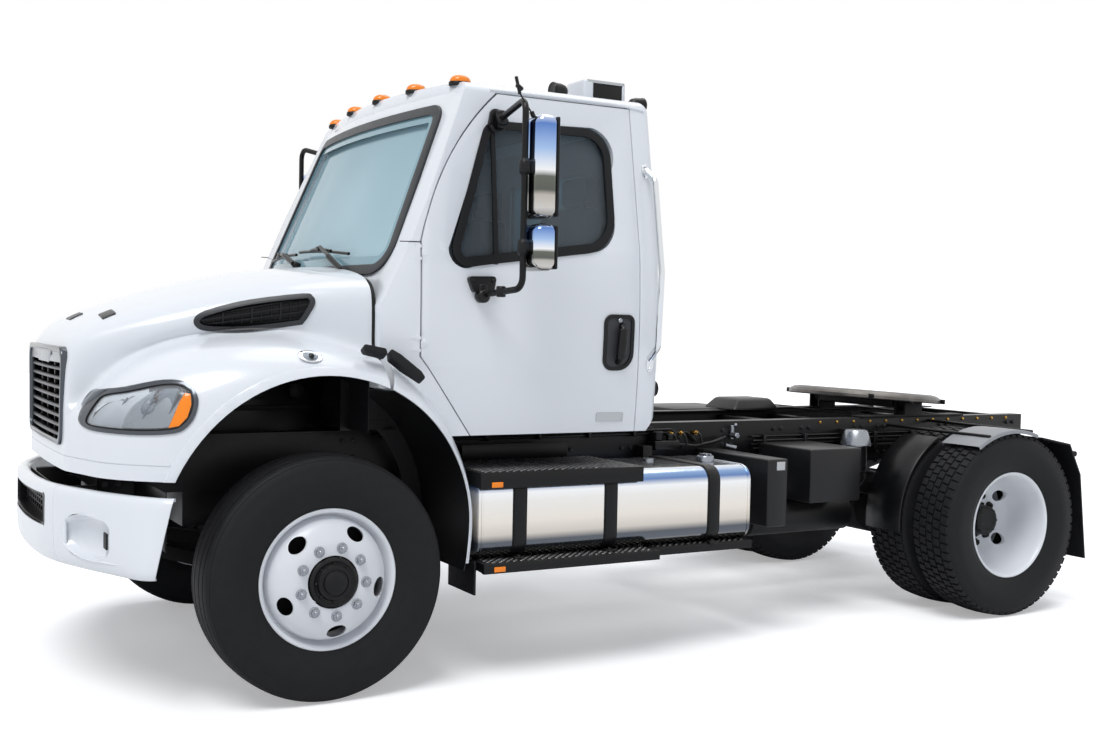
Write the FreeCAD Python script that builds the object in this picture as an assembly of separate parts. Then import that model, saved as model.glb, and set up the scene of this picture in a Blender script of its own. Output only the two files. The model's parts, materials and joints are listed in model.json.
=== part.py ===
# Two-axle conventional road tractor with a day cab, as an assembly of separate pieces.
# Units are millimetres.  +X is forward, +Y is the driver's left, +Z is up.  The ground is Z = 0,
# and the origin is on the ground at the middle of the vehicle's length and width.
import FreeCAD, Part
import math
import os

V = FreeCAD.Vector
X_AXIS = V(1, 0, 0)
Y_AXIS = V(0, 1, 0)
Z_AXIS = V(0, 0, 1)

# ---- driving sizes ---------------------------------------------------------------------------
front_overhang = 1045      # front axle to the bumper's foremost point
wheelbase = 4000
rear_overhang = 965        # rear axle to the ends of the frame rails
overall_length = front_overhang + wheelbase + rear_overhang
front_axle = overall_length / 2 - front_overhang     # X of the front axle
rear_axle = front_axle - wheelbase                   # X of the rear axle

tyre_radius = 520
tyre_width = 280
axle_height = tyre_radius
front_track_half = 1022    # middle plane of a front tyre
dual_middle = 916.5        # mounting plane between a pair of rear tyres
dual_spacing = 343

rail_top = 1075
rail_height = 256
rail_width = 87
rail_wall = 8
rail_outside = 432         # half the width over the two rails
rail_front = 800           # rail ends ahead of the front axle
rail_bottom = rail_top - rail_height
rail_inside = rail_outside - rail_wall

cab_base = 1094
cab_wall = 55
cab_back = 1690            # back of the cab behind the front axle
floor_thickness = cab_wall
door_front = 440           # door edges behind the front axle
door_rear = 1560
door_gap = 6
hinge_gap = 8
roof_split = 2646

running_clearance = 0.08   # radial clearance at pins and spindles
side_clearance = 5         # beside parts that turn on a pin
kingpin_y = 860
kingpin_radius = 22
spindle_radius = 34
hood_skin = 12
hood_pivot_ahead = 880     # hood pivot ahead of the front axle
hood_pivot_height = 978
hood_pivot_y = 340
hood_pin_radius = 15
plate_pivot_height = 1140
plate_pin_radius = 20

hook_spacing_y = 160       # bolt pattern in the rear crossmember
hook_spacing_z = 90
hook_height = 950
hook_hole_radius = 10.5

far = 4000                 # beyond every piece, for cutting blocks


def station(distance):
    """X of a place that lies this far behind the front axle."""
    return front_axle - distance


# ---- helpers ---------------------------------------------------------------------------------
def box(x, y, z):
    """Block between two values on each axis, given in either order."""
    x, y, z = sorted(x), sorted(y), sorted(z)
    return Part.makeBox(x[1] - x[0], y[1] - y[0], z[1] - z[0], V(x[0], y[0], z[0]))


def bar(start, end, radius):
    """Round bar between two points."""
    along = V(*end) - V(*start)
    return Part.makeCylinder(radius, along.Length, V(*start), along)


def mirrored(shape):
    """The same shape on the other side of the vehicle."""
    return shape.mirror(V(0, 0, 0), Y_AXIS)


def both(shape):
    return [shape, mirrored(shape)]


def fuse(shapes):
    """One solid out of shapes that touch or overlap."""
    joined = shapes[0].multiFuse(shapes[1:]) if len(shapes) > 1 else shapes[0]
    return joined.removeSplitter()


def outline(start, steps, place):
    """Closed wire.  A step is (end,) for a line or (middle, end) for an arc; place makes 3-D."""
    edges = []
    here = start
    for step in steps:
        end = step[-1]
        if len(step) == 2:
            edges.append(Part.Arc(place(here), place(step[0]), place(end)).toShape())
        else:
            edges.append(Part.LineSegment(place(here), place(end)).toShape())
        here = end
    return Part.Wire(edges)


def across(p):
    """The same plan point on the other side of the centre line."""
    return (p[0], -p[1])


def polygon(points, place):
    return outline(points[0], [(p,) for p in points[1:]] + [(points[0],)], place)


def at_x(x):
    return lambda p: V(x, p[0], p[1])


def at_y(y):
    return lambda p: V(p[0], y, p[1])


def at_z(z):
    return lambda p: V(p[0], p[1], z)


def slab(wire, along):
    """Solid from a closed flat wire pushed along a vector."""
    return Part.Face(wire).extrude(along)


def side_plate(points, y):
    """Flat plate from an X-Z polygon between two Y values."""
    return slab(polygon(points, at_y(y[0])), V(0, y[1] - y[0], 0))


def turned(points, centre, axis):
    """Solid of revolution from (radius, along) points round an axis through centre along Y."""
    wire = polygon(points, lambda p: V(centre[0], centre[1] + p[1], centre[2] + p[0]))
    return Part.Face(wire).revolve(V(*centre), axis, 360)


def bent_bar(points, bend, radius):
    """Round bar through points, with an arc of radius bend at each corner."""
    p = [V(*q) for q in points]
    edges = []
    here = p[0]
    for before, corner, after in zip(p, p[1:], p[2:]):
        into = (before - corner).normalize()
        out = (after - corner).normalize()
        half = into.getAngle(out) / 2
        reach = bend / math.tan(half)
        start = corner + into * reach
        end = corner + out * reach
        middle_line = (into + out).normalize()
        middle = corner + middle_line * (bend / math.sin(half) - bend)
        edges.append(Part.LineSegment(here, start).toShape())
        edges.append(Part.Arc(start, middle, end).toShape())
        here = end
    edges.append(Part.LineSegment(here, p[-1]).toShape())
    path = Part.Wire(edges)
    section = Part.Wire(Part.Circle(p[0], p[1] - p[0], radius).toShape())
    return path.makePipeShell([section], True, False)


parts = {}


def node(name, *solids):
    parts[name] = Part.makeCompound(list(solids))


# ---- frame -----------------------------------------------------------------------------------
def frame_rail():
    x = (rear_axle - rear_overhang, station(-rail_front))
    web = box(x, (rail_inside, rail_outside), (rail_bottom, rail_top))
    low = box(x, (rail_outside - rail_width, rail_inside), (rail_bottom, rail_bottom + rail_wall))
    high = box(x, (rail_outside - rail_width, rail_inside), (rail_top - rail_wall, rail_top))
    return fuse([web, low, high])


def crossmembers():
    # front face, length along X, bottom and top
    table = [(station(-rail_front), 40, 840, 1050), (station(1220), 90, 860, 1040),
             (station(2250), 90, 860, 1040), (rear_axle + 850, 90, 860, 1040),
             (rear_axle + 440, 80, 860, 1040), (rear_axle - 380, 80, 860, 1040),
             (rear_axle - rear_overhang + 40, 40, 840, 1060)]
    beams = []
    for face, length, low, high in table:
        x = (face - length, face)
        beams.append(box(x, (-rail_inside, rail_inside), (low, high)))
    return beams


def hood_brackets():
    """Cheek plates on the front crossmember with the pin that carries the hood."""
    cheek = 15
    lug = 20
    near = lug + side_clearance
    face = station(-rail_front)
    x = (face, station(-hood_pivot_ahead) + 26)
    pieces = []
    for side in (-1, 1):
        low = hood_pivot_y + min(side * near, side * (near + cheek))
        pieces.append(box(x, (low, low + cheek), (hood_pivot_height - 26, hood_pivot_height + 26)))
    reach = near + cheek
    centre = station(-hood_pivot_ahead)
    pieces.append(bar((centre, hood_pivot_y - reach, hood_pivot_height),
                      (centre, hood_pivot_y + reach, hood_pivot_height), hood_pin_radius))
    return fuse(pieces)


def cut_rear_holes(frame):
    """Bolt holes in the rear crossmember, where a towing hook or pintle plate bolts on."""
    x = rear_axle - rear_overhang - 1
    for y in (-hook_spacing_y / 2, hook_spacing_y / 2):
        for z in (hook_height - hook_spacing_z / 2, hook_height + hook_spacing_z / 2):
            frame = frame.cut(bar((x, y, z), (x + 60, y, z), hook_hole_radius))
    return frame


node("frame_rails", cut_rear_holes(fuse(both(frame_rail()) + crossmembers() + both(hood_brackets()))))

# ---- axles, springs and drive line -----------------------------------------------------------
eye_half = 50              # half the height of the front axle's eye
knuckle_gap = side_clearance
spring_half_width = 38
front_spring_y = 388
rear_spring_y = 490
beam_top = 440             # front axle beam's top between the springs
rear_tube_radius = 65
drive_height = 600


def front_axle_beam():
    x = (front_axle - 45, front_axle + 45)
    mid = axle_height
    half = [(0, beam_top - 90), (620, beam_top - 90), (790, mid - 40), (kingpin_y, mid - 40),
            (kingpin_y, mid + 40), (770, mid + 40), (590, beam_top), (0, beam_top)]
    arm = slab(polygon(half, at_x(x[0])), V(x[1] - x[0], 0, 0))
    eye = bar((front_axle, kingpin_y, mid - eye_half), (front_axle, kingpin_y, mid + eye_half), 45)
    hole = bar((front_axle, kingpin_y, mid - 80), (front_axle, kingpin_y, mid + 80),
               kingpin_radius + running_clearance)
    return fuse(both(fuse([arm, eye]).cut(hole)))


node("front_axle_beam", front_axle_beam())


def leaf_pack(x, y, seat, length, camber, thickness):
    """Curved pack of leaves that rests on its seat and rises to both ends."""
    rear = x - length / 2
    front = x + length / 2
    low = seat + camber
    high = low + thickness
    wire = outline((rear, low), [((x, seat), (front, low)), ((front, high),),
                                 ((x, seat + thickness), (rear, high)), ((rear, low),)],
                   at_y(y - spring_half_width))
    return slab(wire, V(0, 2 * spring_half_width, 0))


def front_spring():
    length = 1340
    thickness = 60
    camber = 150
    pack = leaf_pack(front_axle, front_spring_y, beam_top, length, camber, thickness)
    ends = []
    for sign in (-1, 1):
        x = front_axle + sign * (length / 2 - 30)
        ends.append(box((x - 25, x + 25), (front_spring_y - 30, front_spring_y + 30),
                        (beam_top + camber + 10, rail_bottom)))
    return fuse([pack] + ends)


def rear_spring():
    length = 1200
    thickness = 80
    camber = 90
    seat = axle_height + rear_tube_radius
    pack = leaf_pack(rear_axle, rear_spring_y, seat, length, camber, thickness)
    ends = []
    for sign in (-1, 1):
        x = rear_axle + sign * (length / 2 - 30)
        ends.append(box((x - 25, x + 25), (rail_outside, rear_spring_y + spring_half_width),
                        (seat + camber + 10, rail_top - 60)))
    saddle = box((rear_axle - 60, rear_axle + 60),
                 (rear_spring_y - spring_half_width, rear_spring_y + spring_half_width),
                 (axle_height + 30, seat + 15))
    tube = bar((rear_axle, 0, axle_height), (rear_axle, 800, axle_height), rear_tube_radius)
    return fuse([pack, saddle.cut(tube)] + ends)


node("leaf_springs", *both(front_spring()), *both(rear_spring()))

rear_spindle_radius = 50


def rear_axle_housing():
    tube = bar((rear_axle, -640, axle_height), (rear_axle, 640, axle_height), rear_tube_radius)
    spindle = bar((rear_axle, -990, axle_height), (rear_axle, 990, axle_height), rear_spindle_radius)
    bowl = bar((rear_axle, -150, axle_height), (rear_axle, 150, axle_height), 200)
    nose = bar((rear_axle, 0, drive_height - 20), (rear_axle + 340, 0, drive_height - 20), 110)
    flange = bar((rear_axle + 330, 0, drive_height), (rear_axle + 380, 0, drive_height), 70)
    return fuse([tube, spindle, bowl, nose, flange])


node("rear_axle", rear_axle_housing())

engine_rear = 250          # engine block's rear face behind the front axle
gearbox_rear = 1100


def engine():
    block = box((station(engine_rear), station(-400)), (-290, 290), (640, 1500))
    sump = box((station(engine_rear), station(100)), (-200, 200), (560, 640))
    mount = box((station(130), station(40)), (290, rail_inside), (880, 960))
    return fuse([block, sump] + both(mount))


node("engine_block", engine())


def driveline():
    case = box((station(gearbox_rear), station(engine_rear)), (-200, 200), (530, 980))
    start = station(gearbox_rear)
    end = rear_axle + 380
    tube = bar((end + 90, 0, drive_height), (start - 90, 0, drive_height), 50)
    yokes = [bar((start, 0, drive_height), (start - 90, 0, drive_height), 70),
             bar((end, 0, drive_height), (end + 90, 0, drive_height), 70)]
    return [case, fuse([tube] + yokes)]


node("driveline", *driveline())
node("radiator", fuse([box((station(-620), station(-520)), (-330, 330), (rail_bottom, 1440)),
                       box((station(-620), station(-520)), (-rail_inside, rail_inside), (900, 980))]))

# ---- bumper ----------------------------------------------------------------------------------
bumper_low = 545
bumper_high = 885
bumper_skin = 60


def bumper_outline(inset):
    """Plan of the bumper's face, moved inwards by inset."""
    nose = station(-front_overhang) - inset
    knee = (station(-950) - inset, 600)
    bend = (station(-850) - inset * 0.8, 860 - inset * 0.5)
    end = (station(-660), 1120 - inset)
    return nose, knee, bend, end


def bumper():
    nose, knee, bend, end = bumper_outline(0)
    nose_in, knee_in, bend_in, end_in = bumper_outline(bumper_skin)
    wire = outline(end, [(end_in,), (bend_in, knee_in), ((nose_in, 0), across(knee_in)),
                         (across(bend_in), across(end_in)), (across(end),), (across(bend), across(knee)),
                         ((nose, 0), knee), (bend, end)], at_z(bumper_low))
    shell = slab(wire, V(0, 0, bumper_high - bumper_low))
    arm = box((station(-rail_front), nose_in - 12), (360, 420), (rail_bottom - 74, bumper_high - 15))
    return fuse([shell] + both(arm))


node("front_bumper", bumper())

# ---- cab shell -------------------------------------------------------------------------------
cowl_front = 270           # cab's upright front behind the front axle
glass_slope = V(-308, 0, 729)      # from the windscreen's foot to its head
foot_height = 1844
foot_middle = 268          # windscreen's foot on the centre line, behind the front axle
foot_corner = (344, 845)   # its corner: behind the front axle, half-width


def cab_section(x, inset, narrow):
    """Cross-section of the cab with curved sides, moved inwards by inset."""
    w = [(1035, cab_base), (1064, 1590), (1052, 1942), (929, 2640), (905, 2676), (860, 2690)]
    p = [(y * narrow - inset, z) for y, z in w]
    p[3] = (p[3][0], p[3][1] - inset)
    p[4] = (p[4][0], p[4][1] - inset)
    p[5] = (p[5][0], p[5][1] - inset)
    base = (p[0][0], p[0][1] + inset)
    m = [(-y, z) for y, z in p]
    m_base = (-base[0], base[1])
    steps = [(p[1], p[2]), (p[3],), (p[4], p[5]), ((0, 2712 - inset), m[5]), (m[4], m[3]),
             (m[2],), (m[1], m_base), (base,)]
    return outline(base, steps, at_x(x))


def windscreen_surface(inset):
    """Solid behind the windscreen's curved surface, which leans back along glass_slope."""
    back = inset * glass_slope.Length / glass_slope.z
    lean = glass_slope.x / glass_slope.z
    low = 1000
    shift = lean * (low - foot_height) - back
    middle = (station(foot_middle) + shift, 0)
    corner = (station(foot_corner[0]) + shift, foot_corner[1])
    side = (corner[0] - 8, 1200)
    rear = (station(cab_back) - 900 + shift, 1200)
    wire = outline(corner, [(side,), (rear,), (across(rear),), (across(side),), (across(corner),),
                            (middle, corner)], at_z(low))
    return slab(wire, glass_slope * 2.6)


def cab_body(inset):
    """Solid cab: two lofts, an upright cowl and the leaning windscreen surface."""
    back = station(cab_back) + inset
    sections = [cab_section(back, inset, 1.0), cab_section(station(470), inset, 1.0),
                cab_section(station(60), inset, 0.86)]
    body = Part.makeLoft(sections[:2], True, True).fuse(Part.makeLoft(sections[1:], True, True))
    cowl = box((back, station(cowl_front + inset)), (-1200, 1200), (cab_base + inset, 2800))
    return body.removeSplitter().common(windscreen_surface(inset)).common(cowl)


cab_rear_radius = 50
cab_rear_cut = (60, 80)    # slanted lower rear corner, along X and up


def rounded_rear(body):
    """The cab's outside with its rear edges rounded and its lower rear corner cut off."""
    back = station(cab_back)
    rim = []
    for edge in body.Edges:
        points = [v.Point for v in edge.Vertexes]
        at_back = all(abs(p.x - back) < 0.01 for p in points)
        at_base = all(abs(p.z - cab_base) < 0.01 for p in points)
        if at_back and not at_base:
            rim.append(edge)
    body = body.makeFillet(cab_rear_radius, rim)
    along, up = cab_rear_cut
    corner = [(back - 1, cab_base - 1), (back + along, cab_base - 1), (back + along, cab_base),
              (back, cab_base + up), (back - 1, cab_base + up)]
    return body.cut(side_plate(corner, (-1300, 1300)))


cab_solid = rounded_rear(cab_body(0))
cab_hollow = cab_body(cab_wall)
cab_shell = cab_solid.cut(cab_hollow)


door_head = 2640
door_inner = 855           # inside of the block that cuts the door out of the cab's wall


def door_block(gap, front_gap):
    """Prism through a door, grown by the shut-line gaps: upright, then curved back to the roof."""
    front = station(door_front) + front_gap
    rear = station(door_rear) - gap
    low = cab_base - 10
    high = door_head + gap
    start = (front, 1446)
    wire = outline(start, [((front, 1953),),
                           ((station(562) + front_gap, 2276), (station(850) + front_gap, high)),
                           ((rear, high),), ((rear, low),), ((station(700) + front_gap, low),), (start,)],
                   at_y(door_inner - gap))
    return slab(wire, V(0, 1300 - door_inner + gap, 0))


def window_outline():
    """X-Z outline of a door's window, from its front lower corner round."""
    p = [(station(d), z) for d, z in [(560, 1925), (600, 1850), (680, 1846), (1260, 1940), (1365, 1958),
                                      (1432, 2080), (1432, 2330), (1425, 2480), (1340, 2530),
                                      (880, 2512), (800, 2505), (760, 2420)]]
    return outline(p[0], [(p[1], p[2]), (p[3],), (p[4], p[5]), (p[6],), (p[7], p[8]), (p[9],),
                          (p[10], p[11]), (p[0],)], at_y(700))


hinge_heights = [1500, 1900]
hinge_axis = (station(door_front) + 3, 1064)
hinge_pin = 4
hinge_barrel = 7
knuckle_height = 30
lug_height = 14
hinge_reach = knuckle_height / 2 + side_clearance + lug_height     # half the hinge's height


def hinge_pocket(height):
    """Room in the door's edge round a hinge's lugs."""
    reach = hinge_reach + side_clearance
    return bar((*hinge_axis, height - reach), (*hinge_axis, height + reach),
               hinge_barrel + side_clearance + 2)


def door_shell():
    """Left door: a piece of the cab's wall with its window cut through."""
    door = cab_shell.common(door_block(0, 0))
    door = door.cut(slab(window_outline(), V(0, 500, 0)))
    for height in hinge_heights:
        door = door.cut(hinge_pocket(height))
        z = (height - knuckle_height / 2, height + knuckle_height / 2)
        barrel = bar((*hinge_axis, z[0]), (*hinge_axis, z[1]), hinge_barrel)
        leaf = box((hinge_axis[0] - 32, hinge_axis[0]), (hinge_axis[1] - 22, hinge_axis[1] - 2), z)
        hole = bar((*hinge_axis, z[0] - 1), (*hinge_axis, z[1] + 1), hinge_pin + running_clearance)
        door = fuse([door, barrel, leaf]).cut(hole)
    return door


def cab_hinges():
    """Lugs above and below each door knuckle with the pin between them."""
    pieces = []
    for height in hinge_heights:
        for low in (height - hinge_reach, height + hinge_reach - lug_height):
            z = (low, low + lug_height)
            pieces.append(bar((*hinge_axis, z[0]), (*hinge_axis, z[1]), hinge_barrel))
            pieces.append(box((hinge_axis[0], hinge_axis[0] + 40),
                              (hinge_axis[1] - 30, hinge_axis[1] - 3), z))
        pieces.append(bar((*hinge_axis, height - hinge_reach), (*hinge_axis, height + hinge_reach),
                          hinge_pin))
    return pieces


def door_glass():
    pane = cab_body(22).cut(cab_body(28))
    return pane.common(slab(window_outline(), V(0, 500, 0)))


left_door = door_shell()
left_glass = door_glass()
node("left_door", left_door)
node("right_door", mirrored(left_door))
node("left_door_glass", left_glass)
node("right_door_glass", mirrored(left_glass))

without_doors = cab_shell.cut(door_block(door_gap, hinge_gap))
without_doors = without_doors.cut(mirrored(door_block(door_gap, hinge_gap)))


def windscreen_block():
    """Prism through the windscreen opening, seen from the front."""
    corners = [(800, 1874), (735, 2545)]
    r = 60
    (wb, zb), (wt, zt) = corners
    p = [(wb - r, zb), (wb, zb + r), (wt + 6, zt - r), (wt - r, zt)]
    m = [(-y, z) for y, z in p]
    c = 0.3 * r
    steps = [((wb - c, zb + c), p[1]), (p[2],), ((wt - c, zt - c), p[3]), (m[3],),
             ((c - wt, zt - c), m[2]), (m[1],), ((c - wb, zb + c), m[0]), (p[0],)]
    return slab(outline(p[0], steps, at_x(station(900))), V(900, 0, 0))


rear_window_y = (-450, 450)
rear_window_z = (1960, 2400)
rear_window = box((station(cab_back + 50), station(1500)), rear_window_y, rear_window_z)


def cab_pieces():
    roof = without_doors.common(box((-far, far), (-far, far), (roof_split, far)))
    walls = without_doors.cut(roof)
    floor_block = box((-far, far), (-960, 960), (0, cab_base + floor_thickness))
    floor_low = walls.common(floor_block)
    walls = walls.cut(floor_block)
    rear = walls.common(box((-far, station(door_rear)), (-far, far), (0, far))).cut(rear_window)
    front = walls.common(box((station(door_rear), far), (-far, far), (0, far))).cut(windscreen_block())
    return roof, floor_low, rear, front


roof, floor_pan, rear_wall, cowl = cab_pieces()
feet = [box((station(d) - 60, station(d) + 60), (350, 425), (rail_top, cab_base)) for d in (520, 1560)]
risers = box((station(1450), station(1000)), (300, 740), (cab_base + floor_thickness, 1480))
node("cab_floor", fuse([floor_pan] + [f for g in feet for f in both(g)] + both(risers)))
node("cab_roof", roof)
node("cab_rear", rear_wall)
left_hinges = cab_hinges()
node("cab_cowl", fuse([cowl] + left_hinges + [mirrored(h) for h in left_hinges]))
screen = cab_body(20).cut(cab_body(28)).common(windscreen_block())
rear_pane = box((station(cab_back) + 24, station(cab_back) + 30), rear_window_y, rear_window_z)
node("cab_glass", screen, rear_pane)


# ---- cab fittings ----------------------------------------------------------------------------
def steering_column():
    centre = V(station(800), 510, 1800)
    lean = V(-1, 0, 1).normalize()
    rim = Part.makeTorus(210, 14, centre, lean)
    hub = Part.makeCylinder(50, 40, centre - lean * 30, lean)
    spokes = [Part.makeCylinder(11, 410, centre - Y_AXIS * 205, Y_AXIS),
              Part.makeCylinder(11, 205, centre, V(-1, 0, -1).normalize())]
    column = Part.makeCylinder(38, 210, centre - lean * 20, lean * -1)
    return fuse([rim, hub, column] + spokes)


def dashboard(column):
    points = [(station(380), 1500), (station(380), 1790), (station(560), 1810), (station(690), 1740),
              (station(700), 1620), (station(620), 1500)]
    board = side_plate(points, (-930, 930)).common(cab_hollow)
    return board.cut(column)


def seat(y):
    """Cushion, back and headrest of one seat, joined."""
    cushion = box((station(1440), station(960)), (y - 250, y + 250), (1480, 1600))
    back = [(station(1440), 1560), (station(1400), 1600), (station(1480), 2200), (station(1570), 2200),
            (station(1520), 1480), (station(1440), 1480)]
    head = [(station(1492), 2190), (station(1502), 2350), (station(1580), 2350), (station(1568), 2190)]
    return fuse([cushion, side_plate(back, (y - 240, y + 240)), side_plate(head, (y - 130, y + 130))])


column = steering_column()
node("steering_wheel", column)
node("dashboard", dashboard(column))
node("seats", *both(seat(520)))


def roof_height(x, y):
    """Height of the roof's outside over a point."""
    probe = Part.makeLine(V(x, y, 2500), V(x, y, 3000)).common(cab_solid)
    return probe.BoundBox.ZMax


def roof_lamps():
    lamps = []
    for behind, y in [(640, 0), (653, 400), (653, -400), (697, 800), (697, -800)]:
        x = station(behind + 25)
        z = roof_height(x, y) - 8
        below = box((x - 60, x + 60), (y - 60, y + 60), (z - 60, z))
        lamps.append(Part.makeSphere(38, V(x, y, z + 4)).cut(below).cut(cab_solid))
    return lamps


def roof_box():
    """Small housing on the roof with a round lamp beside it, and a lamp at the roof's rear edge."""
    x = (station(1660), station(1420))
    z = roof_height(station(1540), 740)
    case = box(x, (560, 740), (z - 20, 2806)).cut(cab_solid)
    lamp = bar((station(1335), 690, 2742), (station(1290), 690, 2742), 36)
    stalk = box((station(1335), station(1300)), (675, 705), (2640, 2742))
    lamps = [case, fuse([lamp, stalk]).cut(cab_solid)]
    for y in (820, -820):
        rear = bar((station(1640), y, 2690), (station(1730), y, 2690), 42)
        foot = box((station(1690), station(1645)), (y - 15, y + 15), (2560, 2690))
        lamps.append(fuse([rear, foot]).cut(cab_solid))
    return lamps


node("roof_lamps", *roof_lamps(), *roof_box())


def grab_handle():
    x = station(1625)
    points = [(x, 1000, 2345), (x, 1075, 2290), (x, 1150, 1850), (x, 1130, 1500), (x, 1035, 1420)]
    return bent_bar(points, 40, 15).cut(cab_solid)


node("grab_handles", *both(grab_handle()))

# ---- door mirrors ----------------------------------------------------------------------------
arm_radius = 14


def mirror():
    x = station(765)
    y = 1362
    arm = bent_bar([(station(715), 1000, 1795), (x, y, 1752), (x, y, 2552), (station(840), 930, 2550)],
                   60, arm_radius).cut(cab_solid)
    plates = [box((station(790), station(660)), (1030, 1085), (1745, 1835)).cut(cab_solid),
              box((station(872), station(808)), (930, 1010), (2520, 2578)).cut(cab_solid)]
    heads = []
    for low, high in ((2047, 2484), (1824, 2024)):
        head = box((station(884), station(786)), (y - 90, y + 90), (low, high))
        heads.append(head.makeFillet(30, head.Edges))
        clamp = box((x, station(800)), (y - 20, y + 20), ((low + high) / 2 - 30, (low + high) / 2 + 30))
        heads.append(clamp)
    return fuse([arm] + plates + heads)


left_mirror = mirror()
node("left_mirror", left_mirror)
node("right_mirror", mirrored(left_mirror))

# ---- hood ------------------------------------------------------------------------------------
hood_rear = 262            # hood's rear edge behind the front axle
hood_nose = 955            # hood's front edge ahead of it
fender_out = 1155
fender_base = 941


def bonnet_section(x, foot, shoulder, shoulder_z, top, inset):
    """Cross-section of the hood's middle: sides, rounded shoulders and a crowned top."""
    f = (foot - inset, fender_base + 0.01)
    low = (shoulder - inset, shoulder_z - 80)
    mid = (shoulder - inset - 26, shoulder_z - 26 - inset * 0.7)
    up = (shoulder - inset - 90, shoulder_z - inset)

    def flip(p):
        return (-p[0], p[1])

    return outline(f, [(low,), (mid, up), ((0, top - inset), flip(up)), (flip(mid), flip(low)),
                       (flip(f),), (f,)], at_x(x))


def bonnet(inset, front_inset):
    # ahead of the front axle, foot half-width, shoulder half-width, shoulder height, middle height
    table = [(hood_nose, 470, 500, 1442, 1500), (620, 620, 665, 1572, 1695), (200, 780, 810, 1682, 1800),
             (-hood_rear, 925, 915, 1748, 1862)]
    wires = []
    for ahead, foot, shoulder, shoulder_z, top in table:
        ahead = min(ahead, hood_nose - front_inset)
        wires.append(bonnet_section(station(-ahead), foot, shoulder, shoulder_z, top, inset))
    return Part.makeLoft(wires, True, False)


def fender_section(x, out, crown, inset):
    """Cross-section of a fender: flat top, rounded outer shoulder, upright side."""
    r = 110
    y = out - inset
    z = crown - inset
    p = [(430, fender_base + 0.01), (430, z), (y - r, z), (y, z - r), (y, fender_base + 0.01)]
    c = 0.293 * r
    return outline(p[0], [(p[1],), (p[2],), ((y - c, z - c), p[3]), (p[4],), (p[0],)], at_x(x))


def fender(inset, front_inset):
    # ahead of the front axle, outer half-width, crown height
    table = [(hood_nose, 560, 1130), (860, 800, 1285), (640, 1060, 1365), (300, 1145, 1420),
             (0, fender_out, 1446), (-hood_rear, fender_out, 1418)]
    wires = []
    for ahead, out, crown in table:
        ahead = min(ahead, hood_nose - front_inset)
        wires.append(fender_section(station(-ahead), out, crown, inset))
    return Part.makeLoft(wires, True, False)


arch_radius = 655
arch_centre = (front_axle, 712)


def arch(radius):
    """The round of a wheel arch, as a cylinder across the vehicle."""
    return bar((arch_centre[0], -1300, arch_centre[1]), (arch_centre[0], 1300, arch_centre[1]), radius)


def hood_body(inset, front_inset):
    side = fender(inset, front_inset)
    return fuse([bonnet(inset, front_inset), side, mirrored(side)])


hood_solid = hood_body(0, 0)
hood_inside = hood_body(hood_skin, hood_skin)
hood_skin_solid = hood_solid.cut(hood_inside)
hood_skin_solid = hood_skin_solid.cut(arch(arch_radius))

grille_points = [(453, 1041), (481, 1462)]
slat_field = (1066, 1437)
slat_count = 8


def grille_block():
    (wl, zl), (wh, zh) = grille_points
    wire = polygon([(-wl, zl), (-wh, zh), (wh, zh), (wl, zl)], at_x(station(-900)))
    return slab(wire, V(100, 0, 0))


def headlight_block():
    points = [(935, 1160), (860, 1283), (750, 1322), (656, 1350), (560, 1322), (539, 1284), (595, 1156),
              (750, 1129), (900, 1138)]
    return side_plate([(station(-a), z) for a, z in points], (560, 1300))


def hood_lug(y):
    """Ear inside the nose with the bore for the pivot pin."""
    centre = station(-hood_pivot_ahead)
    ring = bar((centre, y - 20, hood_pivot_height), (centre, y + 20, hood_pivot_height), 26)
    arm = box((centre, station(hood_skin - hood_nose)), (y - 20, y + 20),
              (hood_pivot_height - 15, hood_pivot_height + 26))
    hole = bar((centre, y - 30, hood_pivot_height), (centre, y + 30, hood_pivot_height),
               hood_pin_radius + running_clearance)
    return fuse([ring, arm]), hole


def hood_shell():
    skin = hood_skin_solid.cut(grille_block())
    lamp = headlight_block()
    skin = skin.cut(lamp).cut(mirrored(lamp))
    lug, hole = hood_lug(hood_pivot_y)
    return fuse([skin, lug, mirrored(lug)]).cut(hole).cut(mirrored(hole))


def grille():
    """Slats and uprights that fill the opening in the nose."""
    block = grille_block().common(box((station(-920), station(-hood_nose)), (-600, 600), (0, 2000)))
    frame = block.cut(box((0, far), (-430, 430), slat_field))
    slats = []
    pitch = (slat_field[1] - slat_field[0]) / slat_count
    for i in range(slat_count):
        z = slat_field[0] + (i + 0.5) * pitch
        slats.append(box((station(-925), station(-950)), (-432, 432), (z - 9, z + 9)))
    return fuse([frame] + slats)


node("hood_shell", hood_shell())
node("grille", grille())
lens = hood_skin_solid.common(headlight_block())
node("headlights", *both(lens))

# ---- fender pieces fixed to the cab, and mudflaps --------------------------------------------
seam_gap = 8


def fender_extension():
    """Lower rear part of a front fender, which stays on the cab when the hood tilts."""
    front = station(hood_rear + seam_gap)
    points = [(front, 1416), (station(460), 1290), (station(610), 1080), (station(690), 860),
              (station(696), 540), (station(640), 540), (station(200), 540), (station(200), 1420)]
    band = side_plate(points, (1010, fender_out - 2)).cut(arch(arch_radius))
    return band.common(box((-far, front), (-far, far), (0, far)))


node("fender_extensions", *both(fender_extension().cut(cab_solid)))


front_mudflap = box((station(690), station(680)), (850, 1120), (391, 540))

# ---- wheels ----------------------------------------------------------------------------------
rim_flange = 298
bead_seat = 286
rim_half = 117             # half the width over the rim flanges
rim_inside = 262
disc_offset = dual_spacing / 2     # disc's outer face from the rim's middle plane
disc_thickness = 11
hub_hole = 110


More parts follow.
